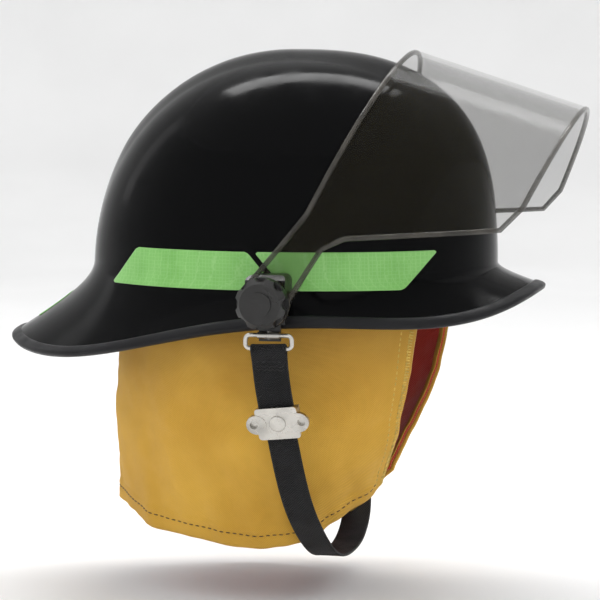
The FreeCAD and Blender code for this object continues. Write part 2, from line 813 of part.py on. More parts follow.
def make_brackets():
    """Block beside the dome that carries the pivot, with a leg for the chin strap."""
    body = new_body("bracket")
    side = new_sketch(body, "bracket_side", "YZ_Plane", "dims.pivot_x")
    face = "-dims.bracket_face"
    back = "-dims.bracket_back"
    top = "dims.bracket_top"
    polygon(side, [(back, top), (back, "26.5"), (back + " - 3.5", "22.5"),
                   (face + " + 2.2", "7.2"), (face, "7.2"), (face, top + " - 3"),
                   (face + " + 5", top)])
    pad(body, side, "dims.bracket_width", centred=True)
    soften(body, 4, lambda edge: runs_along(LEFT)(edge) and edge.CenterOfMass.z > 36)
    leg = new_sketch(body, "bracket_leg", "YZ_Plane", "dims.swivel_x")
    rectangle(leg, (face, "dims.swivel_z - 4.1"), (face + " + 2.2", "12"))
    pad(body, leg, "14", centred=True)
    hole = new_sketch(body, "swivel_hole", "XZ_Plane", "dims.bracket_face + 1")
    circle(hole, ("dims.swivel_x", "dims.swivel_z"), "2.45")
    pocket(body, hole, "6")
    for word, offset in (("rear", "-dims.screw_spread"), ("front", "dims.screw_spread")):
        hole = new_sketch(body, "screw_hole_" + word, "XZ_Plane", "dims.bracket_face + 1")
        spot = ("dims.pivot_x + " + offset, "dims.screw_level")
        circle(hole, spot, "dims.screw_radius + 0.1")
        pocket(body, hole, "40")
        sink = new_sketch(body, "screw_sink_" + word, "XZ_Plane", "dims.bracket_face + 1")
        circle(sink, spot, "3.7")
        pocket(body, sink, "6.2")
    pair(body, "visor_bracket")


def make_bracket_screws():
    """Screws through bracket and shell, and their nuts inside."""
    screws = []
    nuts = []
    head_seat = size("bracket_face") - 5.2
    for side in (-1, 1):
        outward = LEFT * side
        for along in (-1, 1):
            spot = V(size("pivot_x") + along * size("screw_spread"), 0, size("screw_level"))
            shank = Part.makeCylinder(size("screw_radius"), 25.5,
                                      spot + outward * (head_seat - 25.5), outward)
            head = Part.makeCylinder(3.5, 2.4, spot + outward * head_seat, outward)
            slot = Part.makeBox(8, 8, 1)
            slot.translate(spot + outward * (head_seat + 1.4 + 4) + V(-4, -4, -0.5))
            screws.append(shank.fuse(head).removeSplitter().cut(slot))
            flats = [V(4 * math.cos(math.pi * k / 3), 0, 4 * math.sin(math.pi * k / 3))
                     for k in range(7)]
            nut = Part.Face(Part.makePolygon(flats)).extrude(outward * 2.8)
            nut.translate(spot + outward * 101.2)
            nuts.append(nut.cut(Part.makeCylinder(size("screw_radius") + 0.02, 6,
                                                  spot + outward * 100, outward)))
    free_shape("bracket_screws", Part.makeCompound(screws))
    free_shape("bracket_nuts", Part.makeCompound(nuts))


def turned_piece(name, corners):
    """Piece turned about the pivot's axis: corners are radius and distance out."""
    body = new_body(name)
    half = new_sketch(body, name + "_half", "XY_Plane", "dims.pivot_z")
    half.setExpression(".AttachmentOffset.Base.x", "dims.pivot_x")
    polygon(half, [(radius, "-(%s)" % out) for radius, out in corners])
    revolve(body, half)
    return body


def make_pivot_studs():
    face = "dims.bracket_face"
    knob = "dims.knob_inner"
    stud = turned_piece("stud", [("0", face), ("dims.stud_radius", face),
                                 ("dims.stud_radius", knob + " - 0.1"),
                                 ("dims.stud_thread_radius", knob + " - 0.1"),
                                 ("dims.stud_thread_radius", "dims.knob_outer - 4.4"),
                                 ("0", "dims.knob_outer - 4.4")])
    pair(stud, "pivot_stud")


def make_washers():
    face = "dims.bracket_face + "
    washer = turned_piece("washer", [("dims.stud_radius + 0.1", face + "0.05"),
                                     ("dims.washer_radius", face + "0.05"),
                                     ("dims.washer_radius", face + "0.7"),
                                     ("dims.stud_radius + 0.1", face + "0.7")])
    pair(washer, "friction_washer")


def make_knobs():
    """Lobed knob that clamps the faceshield on its stud."""
    low = "dims.knob_inner"
    high = "dims.knob_outer"
    bore = "dims.stud_thread_radius + 0.05"
    body = turned_piece("knob", [("0", high + " - 4"), (bore, high + " - 4"), (bore, low),
                                 ("dims.knob_radius", low), ("dims.knob_radius", high + " - 4.5"),
                                 ("dims.knob_radius - 3.5", high + " - 1.2"),
                                 ("7.5", high + " - 1.2"), ("7.5", high), ("0", high)])
    scoop = new_sketch(body, "knob_scoop", "XZ_Plane", high + " + 1")
    scoop.setExpression(".AttachmentOffset.Base.x", "dims.pivot_x")
    scoop.setExpression(".AttachmentOffset.Base.y", "dims.pivot_z")
    circle(scoop, ("dims.knob_radius + 2.2", "0"), "4.6")
    cut = pocket(body, scoop, "10.5")
    polar(body, cut, scoop, 8)
    pair(body, "visor_knob")


def shield_cone(grow):
    """Leaning elliptical cone between a level above the pivot and one below the hem."""
    top = 24
    low = -size("shield_drop") - 10
    loops = []
    for z in (top, low):
        lean = size("shield_lean") * -z / size("shield_drop")
        ellipse = Part.Ellipse(V(0, 0, z), size("shield_half_length") + lean + grow,
                               size("shield_half_width") + grow)
        loops.append(Part.Wire(ellipse.toShape()))
    return Part.makeLoft(loops, True, True)


def shield_outline():
    """Side view of the lowered faceshield: round ear, arm, slanted side, level edges."""
    ear = size("ear_radius")
    drop = size("shield_drop")
    front = size("shield_half_length") + size("shield_lean") + 20
    ear_top = V(ear * math.cos(math.radians(70)), 0, ear * math.sin(math.radians(70)))
    ear_low = V(ear * math.cos(math.radians(-75)), 0, ear * math.sin(math.radians(-75)))
    corners = [V(62, 0, 0), V(front, 0, 0), V(front, 0, -drop), V(122, 0, -drop),
               V(104, 0, -drop + 6), V(94, 0, -drop + 24), V(58, 0, -28), V(46, 0, -18)]
    line = Part.makePolygon([ear_top, V(40, 0, 5)] + corners + [ear_low])
    arc = Part.Arc(ear_low, V(-ear, 0, 0), ear_top).toShape()
    return Part.Wire(Part.__sortEdges__(line.Edges + [arc]))


def make_faceshield():
    half_wall = size("shield_wall") / 2
    sheet_wall = shield_cone(half_wall).cut(shield_cone(-half_wall))
    window = Part.Face(shield_outline()).extrude(LEFT * 400)
    window.translate(V(0, -200, 0))
    shield = sheet_wall.common(window)
    bore = Part.makeCylinder(size("stud_radius") + 0.15, 400, V(0, -200, 0), LEFT)
    shield = shield.cut(bore)
    shield.rotate(V(0, 0, 0), LEFT, -size("shield_raised_angle"))
    shield.translate(V(size("pivot_x"), 0, size("pivot_z")))
    free_shape("faceshield", shield.Solids[0])


# ---------------------------------------------------------------- ear and neck cover

# Right half of the cover, from the nape round to the front edge: each row is a place along
# the cover, given as its top, middle and bottom points.
COVER_STATIONS = [
    [(-119, 0, 20), (-122, 0, -52), (-120, 0, -124)],
    [(-92, -66, 20), (-95, -64, -56), (-92, -56, -133)],
    [(-34, -93, 20), (-37, -92, -60), (-37, -77, -145)],
    [(32, -94, 18), (27, -88, -62), (15, -65, -145)],
    [(73, -86, 12), (61, -75, -58), (43, -43, -129)],
    [(97, -75, 4), (85, -58, -53), (62, -24, -107)],
]


def cover_surface():
    right = [[V(*point) for point in row] for row in COVER_STATIONS]
    left = [[V(p.x, -p.y, p.z) for p in row] for row in right[1:]]
    return grid_surface(right[::-1] + left)


def cover_grid(surface, lift, columns=27, rows=7, low=0.0, high=1.0):
    """Grid of points at a distance outside the cover's base surface."""
    first_u, last_u, first_v, last_v = surface.bounds()
    grid = []
    for i in range(columns):
        u = first_u + (last_u - first_u) * i / (columns - 1)
        line = []
        for j in range(rows):
            share = low + (high - low) * j / (rows - 1)
            v = first_v + (last_v - first_v) * share
            point = surface.value(u, v)
            normal = surface.normal(u, v)
            if normal.x * point.x + normal.y * point.y < 0:
                normal = normal * -1
            line.append(point + normal * lift)
        grid.append(line)
    return grid


def make_cover():
    """Outer cloth, red lining inside it, and the tape that fixes both to the liner."""
    base = cover_surface()
    outer = size("cover_outer_wall")
    lining = size("cover_lining_wall")
    gap = size("cover_gap")
    free_shape("ear_cover_outer", sheet_solid(cover_grid(base, 0), cover_grid(base, -outer)))
    start = -outer - gap
    free_shape("ear_cover_lining",
               sheet_solid(cover_grid(base, start), cover_grid(base, start - lining)))
    tape = start - lining - gap
    free_shape("cover_hook_tape",
               sheet_solid(cover_grid(base, tape, rows=4, high=0.12),
                           cover_grid(base, tape - 1.5, rows=4, high=0.12)))


# ---------------------------------------------------------------- chin strap

# Right-hand run of the strap's centre line, from the ring down to the chin.
STRAP_ROUTE = [(12, -132.2, -8), (13.1, -127, -30), (15.9, -120, -55.5), (17.8, -113.6, -73),
               (20.2, -106.2, -93), (23.8, -94, -117), (28.8, -75, -139.5), (31.5, -43.5, -155.5),
               (32.5, 0, -160)]
SLIDE_STATION = 2
BUCKLE_STATION = 3


def strap_curve():
    """Centre line of the whole strap, from the right ring under the chin to the left ring."""
    right = [V(*point) for point in STRAP_ROUTE]
    left = [V(point.x, -point.y, point.z) for point in right[:-1]]
    return open_curve(right + left[::-1])


def strap_frame(curve, place):
    """Point, direction and outward normal of the strap at a parameter."""
    point = curve.value(place)
    along = curve.tangent(place)[0]
    outward = FRONT.cross(along)
    if outward.y * point.y + outward.z * (point.z + 60) < 0:
        outward = outward * -1
    return point, along, outward.normalize()


def webbing(curve, start, end, width, wall, count=15):
    """Flat strap along a stretch of the curve."""
    rails = [[], [], [], []]
    for i in range(count):
        place = start + (end - start) * i / (count - 1)
        point, along, outward = strap_frame(curve, place)
        for rail, (across, lift) in zip(rails, ((1, 1), (-1, 1), (-1, -1), (1, -1))):
            rail.append(point + FRONT * (across * width / 2) + outward * (lift * wall / 2))
    return ribbon_solid(rails)


def strap_place(curve, station):
    """Parameter of a point of the route on the right-hand side."""
    return curve.parameter(V(*STRAP_ROUTE[station]))


def ring_wire():
    """Centre line of the rectangular ring on the right-hand side."""
    half = size("ring_half_width")
    corner = 3
    x = size("swivel_x")
    y = -size("swivel_y")
    top = size("swivel_z")
    low = top - size("ring_drop")
    flat = Part.makePolygon([V(x - half, y, top), V(x + half, y, top), V(x + half, y, low),
                             V(x - half, y, low), V(x - half, y, top)])
    face = Part.Face(flat)
    prism = face.extrude(LEFT)
    uprights = [edge for edge in prism.Edges if abs(edge.tangentAt(edge.FirstParameter).y) > 0.9]
    rounded = prism.makeFillet(corner, uprights)
    outline = min(rounded.Faces, key=lambda item: item.CenterOfMass.y)
    return outline.OuterWire


def make_strap_hangers():
    """Swivel lug on the bracket's leg, and the wire ring that hangs in it."""
    y = -size("swivel_y")
    x = size("swivel_x")
    z = size("swivel_z")
    wire = size("wire_radius")
    tube = Part.makeCylinder(wire + size("lug_wall"), 14, V(x - 7, y, z), FRONT)
    shaft = Part.makeCylinder(2.4, 5.2, V(x, y, z), LEFT)
    lug = tube.fuse(shaft).cut(Part.makeCylinder(wire + 0.06, 20, V(x - 10, y, z), FRONT))
    pair(free_piece("swivel", lug.Solids[0]), "strap_swivel")
    path = ring_wire()
    start = path.OrderedEdges[0]
    middle = start.valueAt((start.FirstParameter + start.LastParameter) / 2)
    heading = start.tangentAt((start.FirstParameter + start.LastParameter) / 2)
    section = Part.Wire(Part.makeCircle(wire, middle, heading))
    ring = path.makePipeShell([section], True, False)
    pair(free_piece("ring", ring), "strap_ring")


def upper_strap(curve, end):
    """Doubled webbing looped round the ring's lower bar, down to a parameter."""
    wall = size("strap_upper_wall")
    width = size("strap_upper_width")
    start = curve.FirstParameter
    band = webbing(curve, start + (end - start) * 0.01, end, width, wall)
    bar = V(*STRAP_ROUTE[0])
    loop = Part.makeCylinder(wall, width, bar - FRONT * (width / 2), FRONT)
    bore = Part.makeCylinder(size("wire_radius") + 0.1, width + 4,
                             bar - FRONT * (width / 2 + 2), FRONT)
    return band.fuse(loop).cut(bore).Solids[0]


def make_chin_strap():
    curve = strap_curve()
    slide = strap_place(curve, SLIDE_STATION)
    right = upper_strap(curve, slide)
    free_shape("chin_strap_upper_right", right)
    buckle_top = curve.parameterAtDistance(-size("plug_top") - 1.3,
                                           strap_place(curve, BUCKLE_STATION))
    left = upper_strap(curve, buckle_top)
    left = left.mirror(V(0, 0, 0), LEFT)
    free_shape("chin_strap_upper_left", left)
    last = curve.LastParameter
    x, y, z = STRAP_ROUTE[BUCKLE_STATION]
    housing_low = curve.parameterAtDistance(-size("housing_foot") - 1,
                                            curve.parameter(V(x, -y, z)))
    lower = webbing(curve, slide + 0.002 * last, housing_low, size("strap_lower_width"),
                    size("strap_lower_wall"), count=41)
    free_shape("chin_strap_lower", lower)


def strap_placement(station, side):
    """Placement on the strap: local X across it, local Y up it, local Z outwards."""
    curve = strap_curve()
    point, along, outward = strap_frame(curve, strap_place(curve, station))
    upward = along * (1 if along.z > 0 else -1)
    upward.y *= -side
    point.y *= -side
    across = FRONT * -side
    return FreeCAD.Placement(point, FreeCAD.Rotation(across, upward, V(), "YXZ"))


def make_postman_slide():
    """Metal slide: face plate with two eyes, and two bars behind the webbing."""
    body = new_body("postman_slide")
    back = new_sketch(body, "slide_back", "XY_Plane", "-4.4")
    rectangle(back, ("-13.8", "-8.5"), ("13.8", "8.5"))
    pad(body, back, "6.9")
    tunnel = new_sketch(body, "slide_tunnel", "XZ_Plane", "20")
    rectangle(tunnel, ("-12.3", "-2.5"), ("12.3", "2.5"))
    pocket(body, tunnel, "40")
    gap = new_sketch(body, "slide_gap", "XY_Plane", "-1")
    rectangle(gap, ("-12.3", "-5"), ("12.3", "5"))
    pocket(body, gap, "6")
    plate = new_sketch(body, "slide_plate", "XY_Plane", "2.5")
    rectangle(plate, ("-13.8", "-11"), ("13.8", "11"))
    pad(body, plate, "1.8")
    soften(body, 2.2, lambda edge: runs_along(UP)(edge) and edge.CenterOfMass.z > 2.6)
    for word, x in (("rear", "-14"), ("front", "14")):
        eye = new_sketch(body, "slide_eye_" + word, "XY_Plane", "2.3")
        circle(eye, (x, "0"), "6.6")
        pad(body, eye, "2.4")
        hole = new_sketch(body, "slide_hole_" + word, "XY_Plane", "8")
        circle(hole, (x + " * 1.12", "0"), "2.6")
        pocket(body, hole, "2.3 + 3.3")
    boss = new_sketch(body, "slide_boss", "XY_Plane", "4.3")
    circle(boss, ("0", "0"), "5.4")
    pad(body, boss, "1.2")
    soften(body, 0.9, lies_at("z", 5.5))
    body.Placement = strap_placement(SLIDE_STATION, -1)
    keep(body, "postman_slide")


def make_buckle():
    """Side-release buckle on the left run: housing below, plug above, two spring arms."""
    place = strap_placement(BUCKLE_STATION, 1)
    housing = new_body("buckle_housing")
    outline = new_sketch(housing, "housing_face", "XY_Plane", "-5.5")
    rectangle(outline, ("-15", "-dims.housing_foot"), ("15", "4"))
    pad(housing, outline, "11")
    soften(housing, 3.5, runs_along(UP))
    room = new_sketch(housing, "housing_mouth", "XZ_Plane", "17")
    rectangle(room, ("-12.6", "-3.2"), ("12.6", "3.2"))
    pocket(housing, room, "30")
    windows = new_sketch(housing, "housing_windows", "YZ_Plane", "0")
    rectangle(windows, ("-13.5", "-3.2"), ("-1", "3.2"))
    pocket(housing, windows, "60", centred=True)
    housing.Placement = place
    keep(housing, "buckle_housing")
    plug = new_body("buckle_plug")
    base = new_sketch(plug, "plug_base", "XY_Plane", "-4.5")
    rectangle(base, ("-15", "4.4"), ("15", "dims.plug_top"))
    pad(plug, base, "9")
    soften(plug, 2.5, lambda edge: runs_along(UP)(edge) and edge.CenterOfMass.y > 8)
    tongue = new_sketch(plug, "plug_tongue", "XY_Plane", "-2")
    rectangle(tongue, ("-2.5", "-12"), ("2.5", "5"))
    pad(plug, tongue, "4")
    plug.Placement = place
    keep(plug, "buckle_plug")
    for word, hand in (("front", "-1"), ("rear", "1")):
        arm = new_body("buckle_arm_" + word)
        outline = new_sketch(arm, "arm_outline_" + word, "XY_Plane", "-2.4")
        polygon(outline, [(hand + " * 8.6", "4.1"), (hand + " * 8.6", "-13"),
                          (hand + " * 12", "-13"), (hand + " * 15.4", "-9"),
                          (hand + " * 15.4", "-3"), (hand + " * 11.4", "-2"),
                          (hand + " * 11.4", "4.1")])
        pad(arm, outline, "4.8")
        arm.Placement = place
        keep(arm, "buckle_arm_" + word)


# ---------------------------------------------------------------- hang ring

def make_hang_ring():
    """Flat ring whose bar turns in a tube under the rear brim, folded forward under it."""
    body = new_body("hang_ring")
    outline = new_sketch(body, "hang_outline", "YZ_Plane", "dims.hang_x")
    reach = "dims.hang_hole_radius + dims.hang_rim"
    centre = "dims.hang_z - dims.hang_drop"
    circle(outline, ("0", centre), reach)
    pad(body, outline, "dims.hang_wall", centred=True)
    neck = new_sketch(body, "hang_neck", "YZ_Plane", "dims.hang_x")
    rectangle(neck, ("-9", centre + " + 5"), ("9", "dims.hang_z + 1.5"))
    pad(body, neck, "dims.hang_wall", centred=True)
    hole = new_sketch(body, "hang_hole", "YZ_Plane", "dims.hang_x")
    circle(hole, ("0", centre), "dims.hang_hole_radius")
    pocket(body, hole, "20", centred=True)
    window = new_sketch(body, "hang_window", "YZ_Plane", "dims.hang_x")
    rectangle(window, ("-6.4", "dims.hang_z - 4.4"), ("6.4", "dims.hang_z - 1.5"))
    pocket(body, window, "20", centred=True)
    hinge = V(size("hang_x"), 0, size("hang_z"))
    fold = FreeCAD.Rotation(LEFT, -90)
    body.Placement = FreeCAD.Placement(V(), fold, hinge)
    keep(body, "hang_ring")


def make_hang_bracket():
    """Plate under the brim with a tube for the ring's bar, and its two rivets."""
    turn = math.pi
    x = size("hang_x")
    z = size("hang_z")
    tube = Part.makeCylinder(3.7, 11.2, V(x, -5.6, z), LEFT)
    share = 1.2
    while shell_point(turn, share).x > x:
        share += 0.01
    lift = -size("shell_wall") - 0.1
    outer = []
    inner = []
    for i in range(5):
        turn = math.pi + math.radians(4.4) * (i / 2 - 1)
        outer.append([raised(turn, share + 0.12 * (j - 1), lift) for j in range(3)])
        inner.append([raised(turn, share + 0.12 * (j - 1), lift - 1.5) for j in range(3)])
    plate = sheet_solid(outer, inner)
    web = Part.makeBox(2.4, 11.2, 8, V(x - 1.2, -5.6, z + 1))
    below = Part.makeBox(60, 60, 60, V(x - 30, -30, z - 60))
    filler = web.common(below.fuse(web)).cut(solid_above_brim(lift))
    bracket = tube.fuse(filler).fuse(plate)
    bracket = bracket.cut(Part.makeCylinder(2.35, 20, V(x, -10, z), LEFT))
    free_shape("hang_ring_bracket", bracket.Solids[0])


def solid_above_brim(lift):
    """Everything above the underside of the rear brim, near its centre line."""
    turns = [math.pi + math.radians(10) * (i / 3 - 1) for i in range(7)]
    downs = [1.2, 1.4, 1.6, 1.8, 2]
    low = [[raised(turn, down, lift) for down in downs] for turn in turns]
    high = [[raised(turn, down, lift + 30) for down in downs] for turn in turns]
    return sheet_solid(low, high)


# ---------------------------------------------------------------- build, test and write

def build():
    make_outer_shell()
    make_brim_trim()
    make_reflective_trim()
    make_liner()
    make_headband()
    make_brow_pad()
    make_nape_pad()
    make_crown_straps()
    make_strap_keys()
    make_crown_pad()
    make_band_hangers()
    make_ratchet_housing()
    make_ratchet_plate()
    make_dial()
    make_pinion()
    make_racks()
    make_brackets()
    make_bracket_screws()
    make_pivot_studs()
    make_washers()
    make_faceshield()
    make_knobs()
    make_cover()
    make_strap_hangers()
    make_chin_strap()
    make_postman_slide()
    make_buckle()
    make_hang_ring()
    make_hang_bracket()


def check():
    """Stop if any object failed or any piece isn't a sound solid."""
    doc.recompute()
    for item in doc.Objects:
        if "Invalid" in item.State or "Error" in item.State:
            raise RuntimeError("failed object: " + item.Name)
    for piece in NODES:
        shape = piece.Shape
        if shape.isNull() or not shape.isValid() or shape.Volume <= 0:
            raise RuntimeError("unsound piece: " + piece.Label)


def write():
    os.makedirs("parts", exist_ok=True)
    for piece in NODES:
        piece.Shape.exportStep("parts/%s.step" % piece.Label)
        print("%-24s %2d solids %10.0f mm3" % (piece.Label, len(piece.Shape.Solids),
                                              piece.Shape.Volume))


build()
check()
write()
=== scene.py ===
from math import acos, copysign, cos, exp, hypot, pi, radians, sin, sqrt, tau

import bmesh
import bpy
import numpy as np
from mathutils import Matrix, Vector, noise


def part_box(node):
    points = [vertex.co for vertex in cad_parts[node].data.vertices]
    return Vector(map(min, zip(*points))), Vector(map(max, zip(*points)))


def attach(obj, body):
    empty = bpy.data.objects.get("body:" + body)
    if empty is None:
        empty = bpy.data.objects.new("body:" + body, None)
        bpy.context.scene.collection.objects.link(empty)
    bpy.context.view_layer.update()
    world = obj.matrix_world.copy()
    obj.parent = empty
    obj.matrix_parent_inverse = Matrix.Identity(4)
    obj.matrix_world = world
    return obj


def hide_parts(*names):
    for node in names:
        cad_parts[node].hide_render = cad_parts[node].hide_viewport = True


# Firefighter helmet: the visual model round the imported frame.
# Metres, +X towards the wearer's front, +Y towards the wearer's left, +Z up.
# The origin is the centre of the head opening.

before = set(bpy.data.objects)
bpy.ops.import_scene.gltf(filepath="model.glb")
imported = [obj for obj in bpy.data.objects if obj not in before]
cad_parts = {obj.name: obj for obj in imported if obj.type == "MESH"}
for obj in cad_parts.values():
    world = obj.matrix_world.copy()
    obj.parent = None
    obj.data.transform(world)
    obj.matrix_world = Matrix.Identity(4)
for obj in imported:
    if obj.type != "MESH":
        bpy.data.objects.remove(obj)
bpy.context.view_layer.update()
MM = 0.001

# ---- driving dimensions

DOME_HALF_LENGTH = 138 * MM
DOME_HALF_WIDTH = 108 * MM
DOME_RISE = 146 * MM
DOME_BASE = 30 * MM
NAPE_FULLNESS = 2.05
FRONT_FULLNESS = 2.65
CREST_RISE = 4 * MM
CREST_HALF_WIDTH = 34 * MM
SHELL_WALL = 3 * MM
BRIM_HALF_LENGTH = 183 * MM
BRIM_SHIFT = 14 * MM
BRIM_HALF_WIDTH = 124 * MM
EDGE_LEVEL = -0.75 * MM
EDGE_TILT = 19 * MM
EDGE_WAVE = 5.75 * MM
FLARE_SIDE_LEVEL = 23 * MM
FLARE_FRONT_RISE = 11 * MM
FLARE_START = radians(3)
PIVOT = Vector((9 * MM, 0, 21 * MM))
SHIELD_HALF_LENGTH = 173 * MM
SHIELD_HALF_WIDTH = 132 * MM
SHIELD_DROP = 119 * MM
SHIELD_LEAN = 14.5 * MM
SHIELD_RAISED = radians(65)
EAR_RADIUS = 17 * MM
BAND_HALF_LENGTH = 95 * MM
BAND_HALF_WIDTH = 79 * MM
FILM_TOP = 0.45 * MM
FILM_FOOT = 0.04 * MM
UPPER_STRAP_WIDTH = 23 * MM
LOWER_STRAP_WIDTH = 20 * MM
THREAD_SIDES = 6
RIM_BULGE = 0.4  # how far a sheet's rim stands out, as a share of its thickness
SWELL_PRESSURE = 4.0
SWELL_FRAMES = 12
FLOOR_LEVEL = -0.185


# ---- mesh helpers

def add_mesh(name, points, faces, uvs=None):
    """Object from points and faces, with an optional uv for each point."""
    mesh = bpy.data.meshes.new(name)
    mesh.from_pydata([tuple(point) for point in points], [], faces)
    if uvs is not None:
        layer = mesh.uv_layers.new(name="UVMap")
        for loop in mesh.loops:
            layer.data[loop.index].uv = uvs[loop.vertex_index]
    mesh.validate()
    mesh.polygons.foreach_set("use_smooth", [True] * len(mesh.polygons))
    piece = bpy.data.objects.new(name, mesh)
    bpy.context.scene.collection.objects.link(piece)
    return piece


def grid_faces(rows, columns, closed_rows=False, closed_columns=False, offset=0):
    """Quads of a grid of points stored row by row."""
    faces = []
    for i in range(rows if closed_rows else rows - 1):
        for j in range(columns if closed_columns else columns - 1):
            here = i * columns
            below = ((i + 1) % rows) * columns
            across = (j + 1) % columns
            faces.append((offset + here + j, offset + here + across,
                          offset + below + across, offset + below + j))
    return faces


def weld(piece, distance=1e-6):
    """Merge points that coincide and make the faces look outwards."""
    work = bmesh.new()
    work.from_mesh(piece.data)
    bmesh.ops.remove_doubles(work, verts=work.verts, dist=distance)
    bmesh.ops.recalc_face_normals(work, faces=work.faces)
    work.to_mesh(piece.data)
    work.free()
    return piece


def thick_sheet(name, outer, inner, uvs=None):
    """Closed sheet between two grids of the same layout, with a rounded rim."""
    rows, columns = outer.shape[:2]
    rim = [(0, j) for j in range(columns)]
    rim += [(i, columns - 1) for i in range(1, rows)]
    rim += [(rows - 1, j) for j in range(columns - 2, -1, -1)]
    rim += [(i, 0) for i in range(rows - 2, 0, -1)]
    points = [Vector(p) for p in outer.reshape(-1, 3)] + [Vector(p) for p in inner.reshape(-1, 3)]
    size = rows * columns
    faces = grid_faces(rows, columns)
    faces += [tuple(reversed(face)) for face in grid_faces(rows, columns, offset=size)]
    flat = [] if uvs is None else [tuple(uv) for uv in uvs.reshape(-1, 2)] * 2
    middles = []
    for i, j in rim:
        a = Vector(outer[i, j])
        b = Vector(inner[i, j])
        inside = Vector(outer[min(max(i, 1), rows - 2), min(max(j, 1), columns - 2)])
        away = (a - inside).normalized() if (a - inside).length > 1e-9 else Vector()
        bulge = (a - b).length * RIM_BULGE
        middles.append(len(points))
        points.append((a + b) / 2 + away * bulge)
        if uvs is not None:
            flat.append(tuple(uvs[i, j]))
    count = len(rim)
    for k in range(count):
        i, j = rim[k]
        m, n = rim[(k + 1) % count]
        here, there = i * columns + j, m * columns + n
        mid, following = middles[k], middles[(k + 1) % count]
        faces.append((here, mid, following, there))
        faces.append((mid, here + size, there + size, following))
    return weld(add_mesh(name, points, faces, flat or None), 1e-7)


def swept(name, centres, across, outward, profile, closed=False):
    """Profile of (across, outward) offsets carried along a line, with uvs in metres."""
    points = []
    uvs = []
    girth = [0.0]
    count = len(profile)
    for k in range(1, count):
        step = Vector(profile[k]) - Vector(profile[k - 1])
        girth.append(girth[-1] + step.length)
    run = 0.0
    for i, centre in enumerate(centres):
        if i:
            run += (centres[i] - centres[i - 1]).length
        for k, (side, lift) in enumerate(profile):
            points.append(centre + across[i] * side + outward[i] * lift)
            uvs.append((girth[k], run))
    faces = grid_faces(len(centres), count, closed_rows=closed, closed_columns=True)
    if not closed:
        faces.append(tuple(range(count - 1, -1, -1)))
        faces.append(tuple(range((len(centres) - 1) * count, len(centres) * count)))
    return weld(add_mesh(name, points, faces, uvs), 1e-7)


def direction(points, i):
    """Way along a line at one of its points."""
    return points[min(i + 1, len(points) - 1)] - points[max(i - 1, 0)]


def mirrored(points):
    return [Vector((p.x, -p.y, p.z)) for p in points]


def squarish(turn, power):
    """Point of a rounded square of half-width 1; a power of 1 gives a circle."""
    return (copysign(abs(cos(turn)) ** power, cos(turn)),
            copysign(abs(sin(turn)) ** power, sin(turn)))


def cubic_path(points, count):
    """Points evenly spread along a natural cubic spline through the given ones."""
    fixed = np.array(points, float)
    gaps = np.linalg.norm(np.diff(fixed, axis=0), axis=1)
    knots = np.concatenate(([0], np.cumsum(gaps)))
    size = len(fixed)
    system = np.eye(size)
    right = np.zeros(fixed.shape)
    for i in range(1, size - 1):
        system[i, i - 1:i + 2] = (gaps[i - 1], 2 * (gaps[i - 1] + gaps[i]), gaps[i])
        right[i] = 6 * ((fixed[i + 1] - fixed[i]) / gaps[i] - (fixed[i] - fixed[i - 1]) / gaps[i - 1])
    bend = np.linalg.solve(system, right)
    places = np.linspace(0, knots[-1], count)
    spans = np.clip(np.searchsorted(knots, places, side="right") - 1, 0, size - 2)
    found = []
    for place, i in zip(places, spans):
        low = place - knots[i]
        high = knots[i + 1] - place
        gap = gaps[i]
        curve = (bend[i] * high ** 3 + bend[i + 1] * low ** 3) / (6 * gap)
        line = (fixed[i] / gap - bend[i] * gap / 6) * high
        line = line + (fixed[i + 1] / gap - bend[i + 1] * gap / 6) * low
        found.append(curve + line)
    return np.array(found)


def capsule(start, end, radius):
    """Points and faces of a short rounded thread between two points."""
    along = (end - start).normalized()
    side = along.orthogonal().normalized()
    other = along.cross(side)
    stations = [(start, 0.05), (start + along * radius * 0.6, 0.85), ((start + end) / 2, 1.0),
                (end - along * radius * 0.6, 0.85), (end, 0.05)]
    points = []
    for centre, share in stations:
        for k in range(THREAD_SIDES):
            turn = tau * k / THREAD_SIDES
            offset = side * cos(turn) + other * sin(turn)
            points.append(centre + offset * radius * share)
    faces = grid_faces(len(stations), THREAD_SIDES, closed_columns=True)
    faces.append(tuple(range(THREAD_SIDES - 1, -1, -1)))
    faces.append(tuple(range(len(points) - THREAD_SIDES, len(points))))
    return points, faces


def stitch_rows(name, rows, length, gap, radius):
    """Threads laid along rows of points; each row is a list of (point, normal)."""
    points = []
    faces = []
    for row in rows:
        run = 0.0
        start = None
        for (here, lift), (there, _) in zip(row, row[1:]):
            step = (there - here).length
            if start is None and run >= gap:
                start = here + lift * radius * 0.35
                run = 0.0
            elif start is not None and run >= length:
                end = here + lift * radius * 0.35
                new_points, new_faces = capsule(start, end, radius)
                base = len(points)
                points += new_points
                faces += [tuple(base + index for index in face) for face in new_faces]
                start = None
                run = 0.0
            run += step
    return add_mesh(name, points, faces)


# ---- shell surface

def dome_points(turn, climb):
    """Outer surface of the dome, as in the CAD: an ellipsoid with fuller shoulders in front."""
    ahead = (1 + np.cos(turn)) / 2
    power = NAPE_FULLNESS + (FRONT_FULLNESS - NAPE_FULLNESS) * ahead
    level = np.maximum(np.cos(climb), 0)
    scale = (level ** power + np.sin(climb) ** power) ** (-1 / power)
    x = DOME_HALF_LENGTH * level * scale * np.cos(turn)
    y = DOME_HALF_WIDTH * level * scale * np.sin(turn)
    z = DOME_RISE * np.sin(climb) * scale
    share = np.minimum(1, np.abs(y) / CREST_HALF_WIDTH)
    fade = np.clip((np.degrees(climb) - 8) / 35, 0, 1)
    fade = fade * fade * (3 - 2 * fade)
    rise = CREST_RISE * (1 - share ** 2) ** 2 * fade
    grow = 1 + rise / np.sqrt(x * x + y * y + z * z)
    return np.stack([x * grow, y * grow, z * grow + DOME_BASE], axis=-1)


